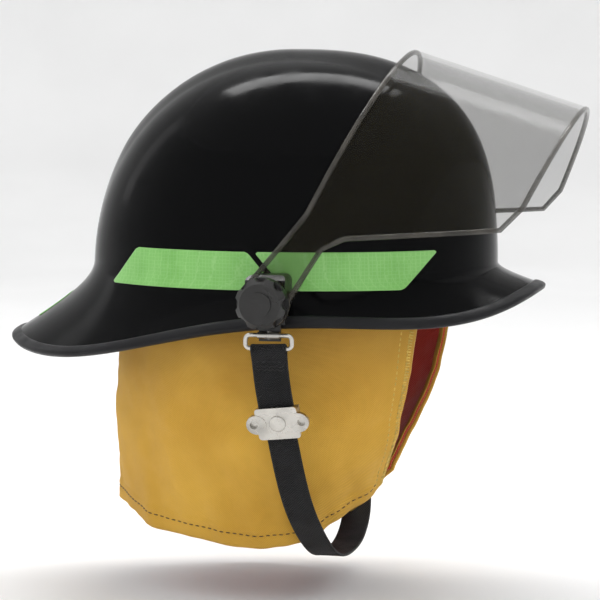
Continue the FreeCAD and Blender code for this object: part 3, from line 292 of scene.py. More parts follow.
def flare_points(turn, share):
    """Surface from the dome's foot (share 0) out to the brim's edge (share 1)."""
    start = dome_points(turn, np.full_like(turn, FLARE_START))
    ahead = np.maximum(0, np.cos(turn))
    bend = start.copy()
    bend[..., 2] = FLARE_SIDE_LEVEL + FLARE_FRONT_RISE * ahead ** 2
    forward = np.cos(turn)
    end = np.stack([BRIM_HALF_LENGTH * forward - BRIM_SHIFT * forward ** 2,
                    BRIM_HALF_WIDTH * np.sin(turn),
                    EDGE_LEVEL + EDGE_TILT * forward + EDGE_WAVE * np.cos(4 * turn)], axis=-1)
    foot = bend + (end - bend) * 0.45
    share = share[..., None]
    rest = 1 - share
    return (start * rest ** 3 + bend * 3 * rest ** 2 * share
            + foot * 3 * rest * share ** 2 + end * share ** 3)


def shell_points(turn, down):
    """Outer surface: down runs 0 to 1 over the dome and 1 to 2 over the brim."""
    climb = pi / 2 + (FLARE_START - pi / 2) * np.clip(down, 0, 1)
    dome = dome_points(turn, climb)
    flare = flare_points(turn, np.clip(down - 1, 0, 1))
    return np.where((down > 1)[..., None], flare, dome)


def shell_normals(turn, down):
    step = 1e-4
    low = np.minimum(np.maximum(down, 2 * step) + step, 2)
    across = shell_points(turn + step, down) - shell_points(turn - step, down)
    along = shell_points(turn, low) - shell_points(turn, low - 2 * step)
    normal = -np.cross(across, along)
    size = np.linalg.norm(normal, axis=-1, keepdims=True)
    normal = normal / np.maximum(size, 1e-12)
    normal[down < 0.01] = (0, 0, 1)
    return normal


def lifted(turn, down, lift):
    """Points at a distance from the shell's outer surface."""
    turn, down = np.broadcast_arrays(np.asarray(turn, float), np.asarray(down, float))
    return shell_points(turn, down) + shell_normals(turn, down) * lift


# ---- materials

def new_look(name, colour, roughness, **sockets):
    """Material with its shader's plain values set; returns it with its tree and shader."""
    look = bpy.data.materials.new(name)
    look.use_nodes = True
    tree = look.node_tree
    shader = tree.nodes["Principled BSDF"]
    shader.inputs["Base Color"].default_value = (*colour, 1)
    shader.inputs["Roughness"].default_value = roughness
    for socket, number in sockets.items():
        shader.inputs[socket.replace("_", " ")].default_value = number
    return look, tree, shader


def add_node(tree, kind, values=None, **props):
    """Node with its properties and unlinked sockets set."""
    item = tree.nodes.new("ShaderNode" + kind)
    for prop, setting in props.items():
        setattr(item, prop, setting)
    for socket, number in (values or {}).items():
        item.inputs[socket].default_value = number
    return item


def shade(colour, factor):
    """Lighter or darker version of a colour."""
    return tuple(min(1, channel * factor) for channel in colour)


def multiplied(tree, first, second):
    """Two colours multiplied together."""
    blend = add_node(tree, "Mix", data_type="RGBA", blend_type="MULTIPLY")
    blend.inputs["Factor"].default_value = 1
    tree.links.new(first, blend.inputs[6])
    tree.links.new(second, blend.inputs[7])
    return blend.outputs[2]


def place(tree, stretch=(1, 1, 1), source="Object"):
    """Texture coordinates in metres, stretched along each axis."""
    coords = add_node(tree, "TexCoord")
    mapping = add_node(tree, "Mapping")
    mapping.inputs["Scale"].default_value = stretch
    tree.links.new(coords.outputs[source], mapping.inputs["Vector"])
    return mapping.outputs["Vector"]


def noise_field(tree, scale, detail=4, stretch=(1, 1, 1)):
    field = add_node(tree, "TexNoise", {"Scale": scale, "Detail": detail})
    tree.links.new(place(tree, stretch), field.inputs["Vector"])
    return field.outputs["Fac"]


def cell_field(tree, scale, **props):
    """Voronoi cells in the object's own metres."""
    field = add_node(tree, "TexVoronoi", {"Scale": scale}, **props)
    tree.links.new(place(tree), field.inputs["Vector"])
    return field


def ramp(tree, source, stops):
    """Colour ramp over a value; stops are (place, colour)."""
    item = add_node(tree, "ValToRGB")
    bar = item.color_ramp.elements
    while len(bar) < len(stops):
        bar.new(0.5)
    for element, (where, colour) in zip(bar, stops):
        element.position = where
        element.color = (*colour, 1)
    tree.links.new(source, item.inputs["Fac"])
    return item.outputs["Color"]


def vary_colour(tree, shader, source, dark, light, low=0.35, high=0.65):
    tree.links.new(ramp(tree, source, [(low, dark), (high, light)]), shader.inputs["Base Color"])


def vary_roughness(tree, shader, source, low, high):
    item = add_node(tree, "MapRange", {"From Min": 0.35, "From Max": 0.7,
                                       "To Min": low, "To Max": high})
    tree.links.new(source, item.inputs["Value"])
    tree.links.new(item.outputs["Result"], shader.inputs["Roughness"])


def add_bump(tree, shader, height, distance, strength=1.0):
    """Bump laid over any bump that the shader already has."""
    item = add_node(tree, "Bump", {"Distance": distance, "Strength": strength})
    tree.links.new(height, item.inputs["Height"])
    earlier = shader.inputs["Normal"].links
    if earlier:
        tree.links.new(earlier[0].from_socket, item.inputs["Normal"])
    tree.links.new(item.outputs["Normal"], shader.inputs["Normal"])


def math_node(tree, kind, first, second=None):
    item = add_node(tree, "Math", operation=kind)
    for slot, source in enumerate((first, second)):
        if source is None:
            continue
        if isinstance(source, (int, float)):
            item.inputs[slot].default_value = source
        else:
            tree.links.new(source, item.inputs[slot])
    return item.outputs[0]


def wave_of(tree, source, pitch):
    """Sine of a coordinate in metres, with the given pitch."""
    return math_node(tree, "SINE", math_node(tree, "MULTIPLY", source, tau / pitch))


def weave_height(tree, pitch, slant=0.0):
    """Height of a weave: threads over and under, with an optional twill slant."""
    split = add_node(tree, "SeparateXYZ")
    tree.links.new(place(tree, source="UV"), split.inputs[0])
    across, along = split.outputs[0], split.outputs[1]
    if slant:
        shifted = math_node(tree, "ADD", across, math_node(tree, "MULTIPLY", along, slant))
        return wave_of(tree, shifted, pitch)
    return math_node(tree, "MULTIPLY", wave_of(tree, across, pitch), wave_of(tree, along, pitch))


def gloss_black():
    """Moulded shell: deep polished black, with a faint ripple and fine scuffs."""
    look, tree, shader = new_look("shell_black", (0.0012, 0.0013, 0.0016), 0.14, IOR=1.16)
    add_bump(tree, shader, noise_field(tree, 9, 2), 0.0012, 0.22)
    add_bump(tree, shader, noise_field(tree, 420, 3), 0.00003, 0.6)
    vary_roughness(tree, shader, noise_field(tree, 60, 8), 0.09, 0.22)
    return look


def rubber():
    colour = (0.007, 0.007, 0.008)
    look, tree, shader = new_look("brim_edging", colour, 0.4, IOR=1.28)
    add_bump(tree, shader, noise_field(tree, 900, 4), 0.00006, 0.6)
    vary_roughness(tree, shader, noise_field(tree, 70, 5), 0.32, 0.52)
    vary_colour(tree, shader, noise_field(tree, 25, 4), colour, shade(colour, 1.8))
    return look


def moulded(name, colour, roughness):
    """Injection moulded plastic with a fine spark texture."""
    look, tree, shader = new_look(name, colour, roughness)
    add_bump(tree, shader, noise_field(tree, 700, 3), 0.00008, 0.7)
    vary_roughness(tree, shader, noise_field(tree, 45, 5), roughness * 0.75, roughness * 1.3)
    vary_colour(tree, shader, noise_field(tree, 18, 5), colour, shade(colour, 1.5))
    return look


def foam(name, colour):
    look, tree, shader = new_look(name, colour, 0.85)
    add_bump(tree, shader, cell_field(tree, 420.0).outputs["Distance"], 0.0006, 0.6)
    add_bump(tree, shader, noise_field(tree, 60, 4), 0.0008, 0.4)
    vary_colour(tree, shader, noise_field(tree, 120, 6), shade(colour, 0.6), colour)
    return look


def steel():
    """Plated steel with fine drawn lines and duller patches."""
    colour = (0.62, 0.6, 0.56)
    look, tree, shader = new_look("plated_steel", colour, 0.28, Metallic=1.0)
    add_bump(tree, shader, noise_field(tree, 260, 4, stretch=(1, 1, 14)), 0.00006, 0.5)
    vary_roughness(tree, shader, noise_field(tree, 90, 6), 0.196, 0.448)
    vary_colour(tree, shader, noise_field(tree, 40, 6), shade(colour, 0.62), colour, 0.3, 0.55)
    return look


def lime_film():
    """Fluorescent prismatic film: small sealed cells under a clear face, a little scuffed."""
    look, tree, shader = new_look("reflective_lime", (0.23, 0.56, 0.14), 0.3, Coat_Weight=0.3,
                                  Coat_Roughness=0.12)
    cells = cell_field(tree, 430.0, feature="DISTANCE_TO_EDGE")
    cells.inputs["Randomness"].default_value = 0.2
    edge = cells.outputs["Distance"]
    add_bump(tree, shader, edge, 0.00015, 0.3)
    pale = ramp(tree, edge, [(0.0, (0.29, 0.62, 0.19)), (0.1, (0.22, 0.56, 0.125))])
    patch = ramp(tree, noise_field(tree, 45, 7), [(0.3, (0.78, 0.86, 0.7)), (0.55, (1, 1, 1))])
    tree.links.new(multiplied(tree, pale, patch), shader.inputs["Base Color"])
    return look


def smoke_shield():
    """Smoke tinted sheet: see-through, with a hard glossy face and faint wiping marks."""
    look, tree, shader = new_look("shield_smoke", (0.016, 0.013, 0.004), 0.05, Alpha=0.2,
                                  IOR=1.3)
    add_bump(tree, shader, noise_field(tree, 12, 1), 0.0004, 0.1)
    vary_roughness(tree, shader, noise_field(tree, 120, 8, stretch=(1, 4, 1)), 0.03, 0.14)
    return look


def shield_rim():
    """Polished edge of the tinted plastic: its colour is painted paler than the sheet, as a highlight for
    the light it gathers.
    """
    look, tree, shader = new_look("shield_rim", (0.06, 0.055, 0.045), 0.1, Alpha=0.62,
                                  IOR=1.5)
    # painted highlight: the rim's colour is kept paler than the sheet's
    vary_colour(tree, shader, noise_field(tree, 60, 4), (0.035, 0.032, 0.026), (0.1, 0.09, 0.075))
    add_bump(tree, shader, noise_field(tree, 500, 3), 0.00004, 0.5)
    return look


def cloth(name, dark, light, pitch=0.0013, slant=1.0, sheen=0.25, brim_shade_colour=None):
    """Twill: slanting threads, nap, and soft patches of wear."""
    look, tree, shader = new_look(name, light, 0.85, Sheen_Weight=sheen, Sheen_Roughness=0.4)
    add_bump(tree, shader, weave_height(tree, pitch, slant), 0.00022, 0.75)
    add_bump(tree, shader, noise_field(tree, 650, 3), 0.0002, 0.5)
    add_bump(tree, shader, noise_field(tree, 28, 4), 0.0012, 0.35)
    broad = ramp(tree, noise_field(tree, 17, 6), [(0.33, dark), (0.66, light)])
    threads = ramp(tree, weave_height(tree, pitch, slant),
                   [(0.0, (0.82, 0.8, 0.76)), (1.0, (1, 1, 1))])
    result = multiplied(tree, broad, threads)
    # painted shade under the brim, darkening the cover towards its top
    if brim_shade_colour:
        result = paint_brim_shade(tree, result, brim_shade_colour)
    tree.links.new(result, shader.inputs["Base Color"])
    return look


def paint_brim_shade(tree, source, colour):
    """Painted shade under the brim along the cover's upper edge, fading downwards."""
    split = add_node(tree, "SeparateXYZ")
    tree.links.new(place(tree), split.inputs[0])
    height = math_node(tree, "ADD", split.outputs[2],
                       math_node(tree, "MULTIPLY", noise_field(tree, 30, 5), 0.03))
    reach = add_node(tree, "MapRange", {"From Min": -0.045, "From Max": 0.025,
                                        "To Min": 0.0, "To Max": 0.5})
    tree.links.new(height, reach.inputs["Value"])
    blend = add_node(tree, "Mix", data_type="RGBA", blend_type="MIX")
    tree.links.new(reach.outputs["Result"], blend.inputs["Factor"])
    tree.links.new(source, blend.inputs[6])
    blend.inputs[7].default_value = (*colour, 1)
    return blend.outputs[2]


def webbing_look(name, colour, pitch=0.0017):
    """Woven strap: raised ribs across it, coloured paler on the ribs and darker between them."""
    look, tree, shader = new_look(name, colour, 0.62, Sheen_Weight=0.08, Sheen_Roughness=0.5,
                                  IOR=1.3)
    weave = weave_height(tree, pitch)
    add_bump(tree, shader, weave, 0.0004, 0.9)
    add_bump(tree, shader, noise_field(tree, 900, 3), 0.0001, 0.4)
    vary_colour(tree, shader, weave, shade(colour, 0.5), shade(colour, 1.8), 0.1, 0.9)
    vary_roughness(tree, shader, noise_field(tree, 50, 5), 0.5, 0.8)
    return look


def knit_pad(name, colour):
    """Brushed knit over foam, for the pads that touch the head."""
    look, tree, shader = new_look(name, colour, 0.9, Sheen_Weight=0.4, Sheen_Roughness=0.5)
    add_bump(tree, shader, cell_field(tree, 900.0).outputs["Distance"], 0.0004, 0.8)
    add_bump(tree, shader, noise_field(tree, 40, 4), 0.001, 0.3)
    vary_colour(tree, shader, noise_field(tree, 80, 6), shade(colour, 0.6), shade(colour, 1.5))
    return look


def thread_look(name, colour):
    look, tree, shader = new_look(name, colour, 0.6, Sheen_Weight=0.2)
    add_bump(tree, shader, noise_field(tree, 3000, 2, stretch=(1, 1, 3)), 0.0001, 0.6)
    vary_colour(tree, shader, noise_field(tree, 300, 3), shade(colour, 0.6), colour)
    return look


LOOKS = {
    "shell": gloss_black(),
    "edging": rubber(),
    "lime": lime_film(),
    "foam": foam("liner_foam", (0.09, 0.09, 0.095)),
    "cap": moulded("inner_cap_plastic", (0.02, 0.02, 0.022), 0.45),
    "band": moulded("band_nylon", (0.035, 0.035, 0.038), 0.5),
    "pad": knit_pad("pad_knit", (0.03, 0.03, 0.033)),
    "hardware": moulded("hardware_nylon", (0.008, 0.0075, 0.007), 0.3),
    "steel": steel(),
    "acetal": moulded("acetal", (0.62, 0.6, 0.54), 0.35),
    "shield": smoke_shield(),
    "shield_rim": shield_rim(),
    # the cover's twill carries painted shade under the brim, darker towards its top
    "yellow": cloth("cover_twill", (0.77, 0.425, 0.046), (0.94, 0.55, 0.074),
                    sheen=0.1, brim_shade_colour=(0.3, 0.15, 0.03)),
    "red": cloth("cover_flannel", (0.68, 0.05, 0.03), (0.88, 0.1, 0.06), pitch=0.002,
                 sheen=0.6),
    "tape": webbing_look("hook_tape", (0.012, 0.012, 0.012), 0.0012),
    "strap": webbing_look("strap_webbing", (0.009, 0.009, 0.0105)),
    "crown": webbing_look("crown_webbing", (0.09, 0.09, 0.085)),
    "thread_black": thread_look("thread_black", (0.03, 0.03, 0.03)),
    "thread_brown": thread_look("thread_brown", (0.16, 0.08, 0.02)),
    "thread_yellow": thread_look("thread_yellow", (0.85, 0.6, 0.12)),
}


def finish_piece(piece, look, body, replaces=()):
    """Look, body and the CAD nodes that a piece stands for."""
    piece.data.materials.clear()
    piece.data.materials.append(LOOKS[look])
    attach(piece, body)
    if replaces:
        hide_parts(*replaces)


def dress_node(name, look, bevel=0.0):
    """Better look and softened edges for a CAD node that stays."""
    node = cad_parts[name]
    for slot in node.material_slots:
        slot.material = LOOKS[look]
    if bevel:
        soft = node.modifiers.new("soft_edges", "BEVEL")
        soft.width = bevel
        soft.segments = 2
        soft.limit_method = "ANGLE"
        soft.angle_limit = radians(40)
        soft.harden_normals = True


# ---- stage

FOCUS = Vector((3.3 * MM, 0.9 * MM, 10 * MM))
VIEW_TURN = radians(12.3)
VIEW_RISE = radians(5.6)
VIEW_DISTANCE = 1.81
FRAME_WIDTH = 408 * MM


def view_direction():
    """From the object towards the camera."""
    return Vector((sin(VIEW_TURN) * cos(VIEW_RISE),
                   -cos(VIEW_TURN) * cos(VIEW_RISE), sin(VIEW_RISE)))


def make_camera():
    data = bpy.data.cameras.new("camera")
    data.sensor_width = 36
    data.lens = 36 * VIEW_DISTANCE / FRAME_WIDTH
    data.clip_start = 0.05
    camera = bpy.data.objects.new("camera", data)
    camera.location = FOCUS + view_direction() * VIEW_DISTANCE
    camera.rotation_euler = (FOCUS - camera.location).to_track_quat("-Z", "Y").to_euler()
    bpy.context.scene.collection.objects.link(camera)
    bpy.context.scene.camera = camera


def make_floor():
    """Pale floor that curves up into a backdrop all round."""
    points = []
    rings = [(0.0, 0.0), (0.6, 0.0), (1.6, 0.0), (2.4, 0.02), (2.9, 0.15), (3.2, 0.5),
             (3.3, 1.2), (3.3, 3.0)]
    sides = 96
    for reach, rise in rings:
        for k in range(sides):
            turn = tau * k / sides
            points.append((reach * cos(turn), reach * sin(turn), FLOOR_LEVEL + rise))
    floor = weld(add_mesh("floor", points, grid_faces(len(rings), sides, closed_columns=True)))
    look, tree, shader = new_look("floor_paper", (0.9, 0.9, 0.9), 0.9)
    vary_colour(tree, shader, noise_field(tree, 3, 3), (0.88, 0.88, 0.88), (0.92, 0.92, 0.92))
    floor.data.materials.append(look)


def add_light(name, spot, aim, width, height, power):
    data = bpy.data.lights.new(name, "AREA")
    data.shape = "RECTANGLE"
    data.size = width
    data.size_y = height
    data.energy = power
    light = bpy.data.objects.new(name, data)
    light.location = spot
    light.rotation_euler = (Vector(aim) - Vector(spot)).to_track_quat("-Z", "Y").to_euler()
    bpy.context.scene.collection.objects.link(light)


def make_light():
    world = bpy.data.worlds.new("studio")
    bpy.context.scene.world = world
    world.use_nodes = True
    world.node_tree.nodes["Background"].inputs["Color"].default_value = (1, 1, 1, 1)
    world.node_tree.nodes["Background"].inputs["Strength"].default_value = 1.0
    add_light("strip", (-0.12, 0.58, 1.6), (0, 0, 0.17), 1.7, 0.36, 21)
    add_light("side", (-1.9, 0.5, 1.0), (0, 0, 0.1), 0.35, 1.1, 1.1)
    bpy.context.scene.view_settings.view_transform = "Standard"


# ---- shell pieces

def make_shell():
    """Outer shell as one closed sheet: dome, brim and the inner face that follows them."""
    turns = np.linspace(0, tau, 288, endpoint=False)
    downs = np.concatenate((np.linspace(0.012, 1, 84), np.linspace(1.02, 2, 50)))
    grid_turn, grid_down = np.meshgrid(turns, downs)
    outer = lifted(grid_turn, grid_down, 0)
    inner = lifted(grid_turn, grid_down, -SHELL_WALL)
    rows, columns = outer.shape[:2]
    size = rows * columns
    points = [tuple(p) for p in outer.reshape(-1, 3)] + [tuple(p) for p in inner.reshape(-1, 3)]
    faces = grid_faces(rows, columns, closed_columns=True)
    faces += [tuple(reversed(f)) for f in grid_faces(rows, columns, closed_columns=True, offset=size)]
    top = DOME_BASE + DOME_RISE + CREST_RISE
    apexes = (len(points), len(points) + 1)
    points += [(0, 0, top), (0, 0, top - SHELL_WALL)]
    last = (rows - 1) * columns
    for j in range(columns):
        k = (j + 1) % columns
        faces.append((apexes[0], k, j))
        faces.append((apexes[1], size + j, size + k))
        faces.append((last + j, last + k, size + last + k, size + last + j))
    shell = weld(add_mesh("shell", points, faces))
    finish_piece(shell, "shell", "helmet", ["outer_shell"])


def brim_frames(count):
    """Edge points with the directions out along the brim and up from its surface."""
    turns = np.linspace(0, tau, count, endpoint=False)
    edge = shell_points(turns, np.full(count, 2.0))
    inside = shell_points(turns, np.full(count, 1.99))
    upward = shell_normals(turns, np.full(count, 2.0))
    away = edge - inside
    away /= np.linalg.norm(away, axis=1, keepdims=True)
    return [Vector(p) for p in edge], [Vector(p) for p in away], [Vector(p) for p in upward]


def make_edging():
    """Rounded rubber channel pushed over the brim's edge."""
    edge, away, upward = brim_frames(360)
    middle = [point - lift * (SHELL_WALL / 2) for point, lift in zip(edge, upward)]
    profile = []
    steps = 28
    for k in range(steps):
        reach, rise = squarish(tau * k / steps, 0.7)
        profile.append((-3.0 * MM + reach * 4.4 * MM, rise * 2.75 * MM))
    edging = swept("brim_edging", middle, away, upward, profile, closed=True)
    finish_piece(edging, "edging", "helmet", ["brim_edge_trim"])


def side_spots(x, z):
    """Turn and down on the shell's right side where it has the given x and height."""
    turn = -np.arccos(np.clip(x / DOME_HALF_LENGTH, -0.97, 0.97))
    for _ in range(30):
        high = np.full(x.shape, 0.3)
        low = np.full(x.shape, 1.95)
        for _ in range(26):
            middle = (high + low) / 2
            above = shell_points(turn, middle)[..., 2] > z
            high = np.where(above, middle, high)
            low = np.where(above, low, middle)
        found = shell_points(turn, (high + low) / 2)
        turn = turn + 0.8 * (x - found[..., 0]) / (-DOME_HALF_LENGTH * np.sin(turn))
    return turn, (high + low) / 2


def rounded_patch(columns, rows, corner, width, height):
    """Shares of a rectangle's width and height, with its corners rounded."""
    across, up = np.meshgrid(np.linspace(0, 1, columns), np.linspace(0, 1, rows), indexing="ij")
    x = (across - 0.5) * width
    y = (up - 0.5) * height
    depth = np.maximum(0, np.abs(y) - (height / 2 - corner))
    inset = corner - np.sqrt(np.maximum(0, corner ** 2 - depth ** 2))
    x = x * (1 - 2 * inset / width)
    return x / width + 0.5, y / height + 0.5


def film(name, turn, down, side=1, uvs=None):
    """Thin film on the shell; side -1 mirrors it to the wearer's left."""
    outer = lifted(turn, down, FILM_TOP)
    inner = lifted(turn, down, FILM_FOOT)
    outer[..., 1] *= side
    inner[..., 1] *= side
    return thick_sheet(name, outer, inner, uvs)


def make_sticker(name, low_ends, high_ends, side):
    """Film on one side of the dome, between x ends given for its lower and upper edges."""
    width, height = 110 * MM, 27 * MM
    share, climb = rounded_patch(72, 30, 2.2 * MM, width, height)
    low_x = low_ends[0] + (low_ends[1] - low_ends[0]) * share
    high_x = high_ends[0] + (high_ends[1] - high_ends[0]) * share
    x = (low_x + (high_x - low_x) * climb) * MM
    turn, down = side_spots(x, (26.5 + 24.5 * climb) * MM)
    uvs = np.stack([share * width, climb * height], axis=-1)
    return film(name, turn, down, side, uvs)


def make_stickers():
    for side, word in ((1, "right"), (-1, "left")):
        rear = make_sticker("film_rear_" + word, (-108, 13), (-87.5, -8), side)
        front = make_sticker("film_front_" + word, (18, 90), (-3, 109), side)
        finish_piece(rear, "lime", "helmet", ["reflective_rear_" + word])
        finish_piece(front, "lime", "helmet", ["reflective_front_" + word])
    share, climb = rounded_patch(40, 20, 2 * MM, 0.037, 0.022)
    turn = pi + radians(9) * (2 * share - 1)
    nape = film("film_nape", turn, 1.5 + 0.3 * climb)
    finish_piece(nape, "lime", "helmet", ["reflective_nape"])


# ---- ear and neck cover

# Right half of the cover's base surface: top, middle and bottom of each upright line.
COVER_STATIONS = [
    [(-119, 0, 20), (-122, 0, -52), (-120, 0, -124)],
    [(-92, -66, 20), (-95, -64, -56), (-92, -56, -133)],
    [(-34, -93, 20), (-37, -92, -60), (-37, -77, -145)],
    [(32, -94, 18), (27, -88, -62), (15, -65, -145)],
    [(73, -86, 12), (61, -75, -58), (43, -43, -129)],
    [(97, -75, 4), (85, -58, -53), (62, -24, -107)],
]
COVER_COLUMNS = 321
COVER_ROWS = 91
COVER_LENGTH = 500 * MM
COVER_DROP = 150 * MM


def smooth_between(low, high, number):
    share = np.clip((number - low) / (high - low), 0, 1)
    return share * share * (3 - 2 * share)


def cover_base():
    """Grid over the cover, front right to front left, and top to bottom."""
    right = [[Vector(p) * MM for p in line] for line in COVER_STATIONS]
    left = [mirrored(line) for line in right[1:]]
    lines = [cubic_path(line, COVER_ROWS) for line in right[::-1] + left]
    return np.stack([cubic_path([line[j] for line in lines], COVER_COLUMNS)
                     for j in range(COVER_ROWS)], axis=1)


def grid_normals(grid):
    across = np.gradient(grid, axis=0)
    down = np.gradient(grid, axis=1)
    normal = np.cross(across, down)
    normal /= np.linalg.norm(normal, axis=-1, keepdims=True)
    outward = np.sum(normal[..., :2] * grid[..., :2], axis=-1).mean()
    return normal if outward > 0 else -normal


def cover_folds(grid):
    """Distance that the cloth stands out or in: hanging folds, wrinkles and slack."""
    run = np.concatenate(([0], np.cumsum(np.linalg.norm(np.diff(grid[:, COVER_ROWS // 2], axis=0), axis=1))))
    drop = np.linspace(0, 1, COVER_ROWS)
    result = np.zeros(grid.shape[:2])
    for i, along in enumerate(run):
        for j, down in enumerate(drop):
            free = down ** 1.3
            hang = noise.noise(Vector((along * 24, down * 0.6, 3.1))) * 8.5 * free
            tuck = noise.noise(Vector((along * 55 + down * 1.5, down * 1.1, 8.4))) * 4.0 * free
            crease = noise.noise(Vector((along * 21, down * 6, 1.7))) * 2.2
            fine = noise.noise(Vector((along * 95, down * 15, 5.5))) * 0.7
            result[i, j] = hang + tuck + (crease + fine) * min(1, 0.25 + down * 2)
    return result * MM


def hem_height(across, down):
    """Extra height where the cloth is turned over and stitched down."""
    from_low = (1 - down) * COVER_DROP
    from_side = np.minimum(across, 1 - across) * COVER_LENGTH
    near = np.minimum(from_low, from_side)
    fold = 0.7 * (1 - smooth_between(11 * MM, 13 * MM, near))
    groove = 0.45 * np.exp(-((near - 8 * MM) / (1.2 * MM)) ** 2)
    pucker = np.sin(across * tau * 118) * np.exp(-((near - 8 * MM) / (5 * MM)) ** 2) * 0.18
    return (fold - groove + pucker) * MM


def under_layer(name, base, normals, uvs, near, wall):
    """Layer under part of the outer cloth: its distance from the base surface and its wall."""
    return thick_sheet(name, base - normals * near, base - normals * (near + wall), uvs)


def make_cover():
    base = cover_base()
    folds = cover_folds(base)
    base = base + grid_normals(base) * folds[..., None]
    normals = grid_normals(base)
    across, down = np.meshgrid(np.linspace(0, 1, COVER_COLUMNS), np.linspace(0, 1, COVER_ROWS),
                               indexing="ij")
    uvs = np.stack([across * COVER_LENGTH, down * COVER_DROP], axis=-1)
    hem = hem_height(across, down)
    outer = base + normals * hem[..., None]
    inner = base - normals * 2 * MM
    cover = thick_sheet("ear_cover", outer, inner, uvs)
    finish_piece(cover, "yellow", "helmet", ["ear_cover_outer"])
    lining = under_layer("ear_lining", base, normals, uvs, 2.35 * MM, 1.4 * MM)
    finish_piece(lining, "red", "helmet", ["ear_cover_lining"])
    tall = 12
    tape = under_layer("hook_tape", base[:, :tall], normals[:, :tall], uvs[:, :tall],
                       4.1 * MM, 1.5 * MM)
    finish_piece(tape, "tape", "helmet", ["cover_hook_tape"])
    make_bindings(base, normals, uvs)
    make_cover_stitches(base, normals, hem)
    return cover, lining


def make_bindings(base, normals, uvs):
    """Outer cloth turned over the lining along the front edges and the hem."""
    wide = 3
    low = 5
    strips = {"binding_right": (slice(0, wide), slice(0, COVER_ROWS)),
              "binding_left": (slice(COVER_COLUMNS - wide, COVER_COLUMNS), slice(0, COVER_ROWS)),
              "binding_low": (slice(0, COVER_COLUMNS), slice(COVER_ROWS - low, COVER_ROWS))}
    for name, (columns, rows) in strips.items():
        near = 3.8 * MM + (0.75 * MM if name == "binding_low" else 0)
        strip = under_layer(name, base[columns, rows], normals[columns, rows],
                            uvs[columns, rows], near, 0.7 * MM)
        finish_piece(strip, "yellow", "helmet")


def make_cover_stitches(base, normals, hem):
    """Dark thread along the hem and bright thread up the front edges."""
    count = 1500
    low_row = [lay_on(base, normals, hem, k / count, 1 - 8 * MM / COVER_DROP) for k in range(20, count - 20)]
    low = stitch_rows("hem_stitches", [low_row], 2.6 * MM, 1.5 * MM, 0.42 * MM)
    finish_piece(low, "thread_brown", "helmet")
    sides = []
    for inset in (3.5 * MM / COVER_LENGTH, 9 * MM / COVER_LENGTH):
        for across in (inset, 1 - inset):
            sides.append([lay_on(base, normals, hem, across, k / 500) for k in range(25, 490)])
    make_whip_stitches(base, normals, hem)
    bright = stitch_rows("edge_stitches", sides, 2.4 * MM, 1.3 * MM, 0.45 * MM)
    finish_piece(bright, "thread_yellow", "helmet")


def make_whip_stitches(base, normals, hem):
    """Bright thread wound over the raw front edges of the cover."""
    rows = []
    for edge in (0, 1):
        for k in range(64):
            down = 0.05 + 0.94 * k / 63
            row = []
            for step in range(9):
                inset = (4.2 - step * 0.5) * MM / COVER_LENGTH
                row.append(lay_on(base, normals, hem, abs(edge - inset), down))
            rows.append(row)
    whip = stitch_rows("edge_whip", rows, 3.2 * MM, 0, 0.5 * MM)
    finish_piece(whip, "thread_yellow", "helmet")


def lay_on(base, normals, lifts, share_across, share_down):
    """Point between the grid's points, so that stitches run smoothly."""
    u = share_across * (COVER_COLUMNS - 1)
    v = share_down * (COVER_ROWS - 1)
    i = min(COVER_COLUMNS - 2, max(0, int(u)))
    j = min(COVER_ROWS - 2, max(0, int(v)))
    s, t = u - i, v - j
    weights = ((i, j, (1 - s) * (1 - t)), (i + 1, j, s * (1 - t)),
               (i, j + 1, (1 - s) * t), (i + 1, j + 1, s * t))
    point = sum((Vector(base[a, b]) * w for a, b, w in weights), Vector())
    normal = sum((Vector(normals[a, b]) * w for a, b, w in weights), Vector()).normalized()
    lift = sum(float(lifts[a, b]) * w for a, b, w in weights)
    return point + normal * lift, normal


# ---- straps

# Right-hand run of the chin strap's centre line, from the ring down to the chin.
STRAP_ROUTE = [(12, -132.2, -8), (13.1, -127, -30), (15.9, -120, -55.5), (17.8, -113.6, -73),
               (20.2, -106.2, -93), (23.8, -94, -117), (28.8, -75, -139.5), (31.5, -43.5, -155.5),
               (32.5, 0, -160)]
SLIDE_STATION = 2
BUCKLE_STATION = 3
STRAP_SAMPLES = 401
AHEAD = Vector((1, 0, 0))


def strap_line():
    """Centre points and outward directions of the chin strap, right ring to left ring."""
    right = [Vector(p) * MM for p in STRAP_ROUTE]
    left = mirrored(right[:-1])
    points = [Vector(p) for p in cubic_path(right + left[::-1], STRAP_SAMPLES)]
    outward = []
    for i, point in enumerate(points):
        lift = AHEAD.cross(direction(points, i)).normalized()
        if lift.y * point.y + lift.z * (point.z + 60 * MM) < 0:
            lift = -lift
        outward.append(lift)
    return points, outward


def webbing_profile(width, wall):
    """Cross-section of woven strap: flat faces with thick rolled selvedges."""
    half = width / 2
    edge = wall * 0.62
    shape = []
    for share in (-1, -0.9, -0.8, -0.4, 0, 0.4, 0.8, 0.9, 1):
        shape.append((share * (half - edge), wall / 2 * (1.12 if abs(share) >= 0.9 else 1)))
    for turn in (60, 30, 0, -30, -60):
        angle = radians(turn)
        shape.append((half - edge + edge * cos(angle), sin(angle) * wall * 0.56))
    low = [(x, -y) for x, y in shape[8::-1]]
    shape += low
    for turn in (-120, -150, 180, 150, 120):
        angle = radians(turn)
        shape.append((-(half - edge) + edge * cos(angle), sin(angle) * wall * 0.56))
    return shape


def strap_piece(name, points, outward, width, wall):
    """Woven ribbon that lies along points, facing outward."""
    across = [direction(points, i).cross(lift).normalized() for i, lift in enumerate(outward)]
    return swept(name, points, across, outward, webbing_profile(width, wall))


